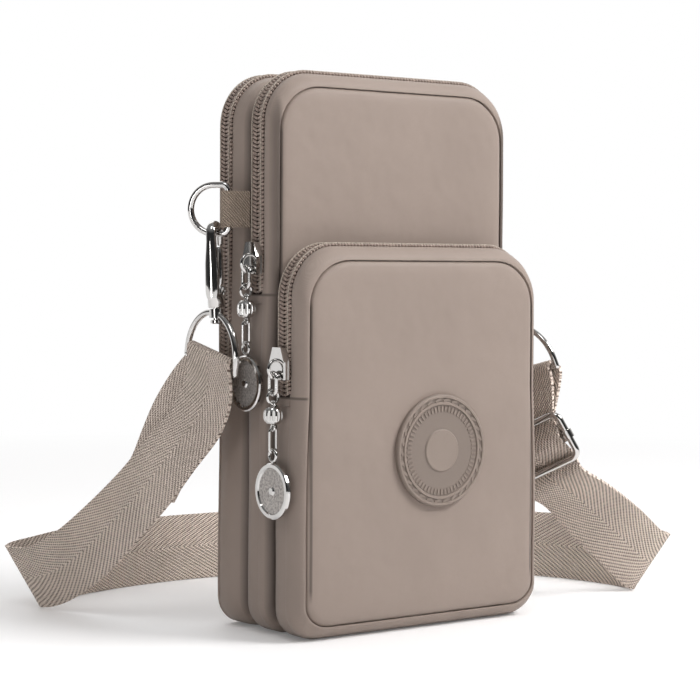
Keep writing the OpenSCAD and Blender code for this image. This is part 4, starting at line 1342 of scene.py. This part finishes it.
@dataclass
class Studio:
    """Camera at the photograph's viewing angle, soft light and a white ground.

    The camera's place is in millimetres, and the lamps' places and sizes are in metres.
    """

    place: Point = (-425.8, -548.5, 121.2)
    forward: Point = (0.601, 0.798, -0.041)
    lens: float = 104.2
    roll: float = 0.3
    pan: float = 0.0007
    room: tuple[float, float] = (0.07, 0.35)
    sky: float = 0.45
    mirrored: float = 0.4
    lift: float = 0.12
    lamps: tuple[tuple[str, Point, float, float], ...] = (
        ("key", (0.46, -0.55, 0.74), 0.4, 8), ("left", (-0.6, -0.5, 1.5), 0.6, 3.6),
        ("back", (0.2, 1.2, 1.3), 1.0, 2), ("strip", (-1.2, -0.42, 0.12), 0.2, 0.9))

    def build(self) -> None:
        """Adds the camera, the lights, the world and the floor."""
        camera = bpy.data.objects.new("camera", bpy.data.cameras.new("camera"))
        camera.data.lens = self.lens
        camera.data.sensor_width = 36
        camera.data.clip_start, camera.data.clip_end = 0.02, 20
        camera.location = Vector(self.place) * MM
        back = -Vector(self.forward).normalized()
        right = Vector((0.799, -0.602, 0)).normalized()
        back = (back + right * self.pan).normalized()
        up = Matrix.Rotation(math.radians(self.roll), 3, back) @ back.cross(right).normalized()
        right = up.cross(back)
        camera.rotation_euler = Matrix((right, up, back)).transposed().to_euler()
        bpy.context.scene.collection.objects.link(camera)
        bpy.context.scene.camera = camera
        for lamp in self.lamps:
            self.lamp(*lamp)
        bpy.context.scene.view_settings.view_transform = "Standard"
        self.world()
        self.floor()

    def lamp(self, name: str, place: Point, size: float, power: float) -> None:
        """Adds a soft lamp that looks at the pouch's middle."""
        lamp = bpy.data.lights.new(name, "AREA")
        lamp.size = size
        lamp.energy = power
        obj = bpy.data.objects.new(name, lamp)
        obj.location = place
        obj.rotation_euler = (Vector((0, 0, 0.09)) - Vector(place)).to_track_quat("-Z", "Y").to_euler()
        bpy.context.scene.collection.objects.link(obj)

    def world(self) -> None:
        """Makes the world white behind the pouch, also in polished metal, and soft grey elsewhere."""
        n = Nodes("studio", world=True)
        bpy.context.scene.world = n.material
        toward = n.add("ShaderNodeTexCoord").outputs["Generated"]
        ahead = n.add("ShaderNodeVectorMath", operation="DOT_PRODUCT", in_0=toward,
                      in_1=(0.75, 0.66, 0)).outputs["Value"]
        up = n.add("ShaderNodeSeparateXYZ", in_0=toward).outputs[2]
        room = n.math("ADD", n.span(ahead, -0.5, 0.3, *self.room), n.span(up, 0.3, 0.65, 0, self.sky))
        dim = n.span(n.add("ShaderNodeLightPath").outputs["Is Glossy Ray"], 0, 1, 1, self.mirrored)
        level = n.math("MULTIPLY", room, dim)
        n.feed(n.math("MAXIMUM", n.seen(n.span(ahead, 0.3, 0.55)), level), n.shader.inputs["Strength"])
        n.shader.inputs["Color"].default_value = (1, 1, 1, 1)

    def floor(self) -> None:
        """Adds the pale floor, which the camera and the metal see white far from the object's shadow."""
        deselect()
        bpy.ops.mesh.primitive_plane_add(size=12)
        floor = bpy.context.active_object
        floor.name = "floor"
        n = Nodes("floor")
        n.shader.inputs["Base Color"].default_value = (0.88, 0.87, 0.87, 1)
        n.shader.inputs["Roughness"].default_value = 0.6
        n.shader.inputs["Emission Color"].default_value = (1, 1, 1, 1)
        seen = n.seen(1.0)
        n.feed(n.math("MULTIPLY", seen, self.lift), n.shader.inputs["Emission Strength"])
        far = n.add("ShaderNodeVectorMath", operation="LENGTH", in_0=n.place()).outputs["Value"]
        white = n.add("ShaderNodeEmission", in_Strength=1.0)
        mix = n.add("ShaderNodeMixShader", in_0=n.math("MULTIPLY", seen, n.span(far, 0.35, 0.8)))
        n.feed(n.shader.outputs[0], mix.inputs[1])
        n.feed(white.outputs[0], mix.inputs[2])
        n.feed(mix.outputs[0], n.tree.nodes["Material Output"].inputs[0])
        floor.data.materials.append(n.material)


def main() -> None:
    """Builds the pouch piece by piece."""
    Studio().build()
    finishes = Finishes()
    compartments = (
        Compartment("pocket", SHORT, Side.FRONT, seam=-8, zip_in=-10.9, zip_out=-17.4, panel=-24.2,
                    zip_end=79, fold=84, flap="pocket_flap", fixed_nodes=("pocket_gusset",),
                    flap_nodes=("pocket_panel", "pocket_flap_panel", "pocket_flap_strip")),
        Compartment("middle", TALL, Side.FRONT, seam=8, zip_in=4.7, zip_out=-1.8, panel=-7.2,
                    zip_end=112, fold=132, flap="middle_flap",
                    fixed_nodes=("middle_gusset", "divider_panel"),
                    flap_nodes=("middle_panel", "middle_flap_panel", "middle_flap_strip"), puff=0.1),
        Compartment("rear", TALL, Side.BACK, seam=8, zip_in=16.9, zip_out=23.4, panel=24.6,
                    zip_end=90, fold=132, flap="rear_flap", fixed_nodes=("rear_gusset",),
                    flap_nodes=("rear_panel", "rear_flap_panel"), puff=0.4, drop=1.2),
    )
    for part in compartments:
        log.info("cloth %s", part.gusset().name)
        log.info("panel %s", part.front().name)
    zips = (
        Zip("pocket", SHORT, fixed=-13.8, flap=-17.4, zip_end=79, fold=84, body="pocket_flap"),
        Zip("middle", TALL, fixed=1.8, flap=-1.8, zip_end=112, fold=132, body="middle_flap"),
        Zip("rear", TALL, fixed=16.9, flap=20.5, zip_end=90, fold=132, body="rear_flap"),
    )
    for part in zips:
        for piece in part.rows(finishes):
            log.info("zip %s", piece.name)
    linings = (
        Lining("pocket_lining", SHORT, y0=-23.4, y1=-8, top=83.7),
        Lining("middle_lining", TALL, y0=-6.4, y1=7.6, top=131.7),
        Lining("rear_lining", TALL, y0=8.4, y1=23.4, top=131.7),
    )
    for part in linings:
        log.info("lining %s", part.build(finishes).name)
    log.info("strap %s", Strap().build(finishes).name)
    for tab in (Tab(-1, 0), Tab(1, RIGHT_DROOP)):
        log.info("tab %s", tab.build(finishes).name)
    hooks = (
        SnapHook("left", (-59.230, 13.583, 132), (0, -0.05, -1), (81, 59, 0)),
        SnapHook("right", (59.138, 11.276, 123.901), (27, -22, -94), (47, -82, 33)),
    )
    for part in hooks:
        for piece in part.build(finishes):
            log.info("hook %s", piece.name)
    Hardware().build(finishes)
    dress(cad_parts["round_patch"], finishes.patch)


if __name__ == "__main__":
    main()
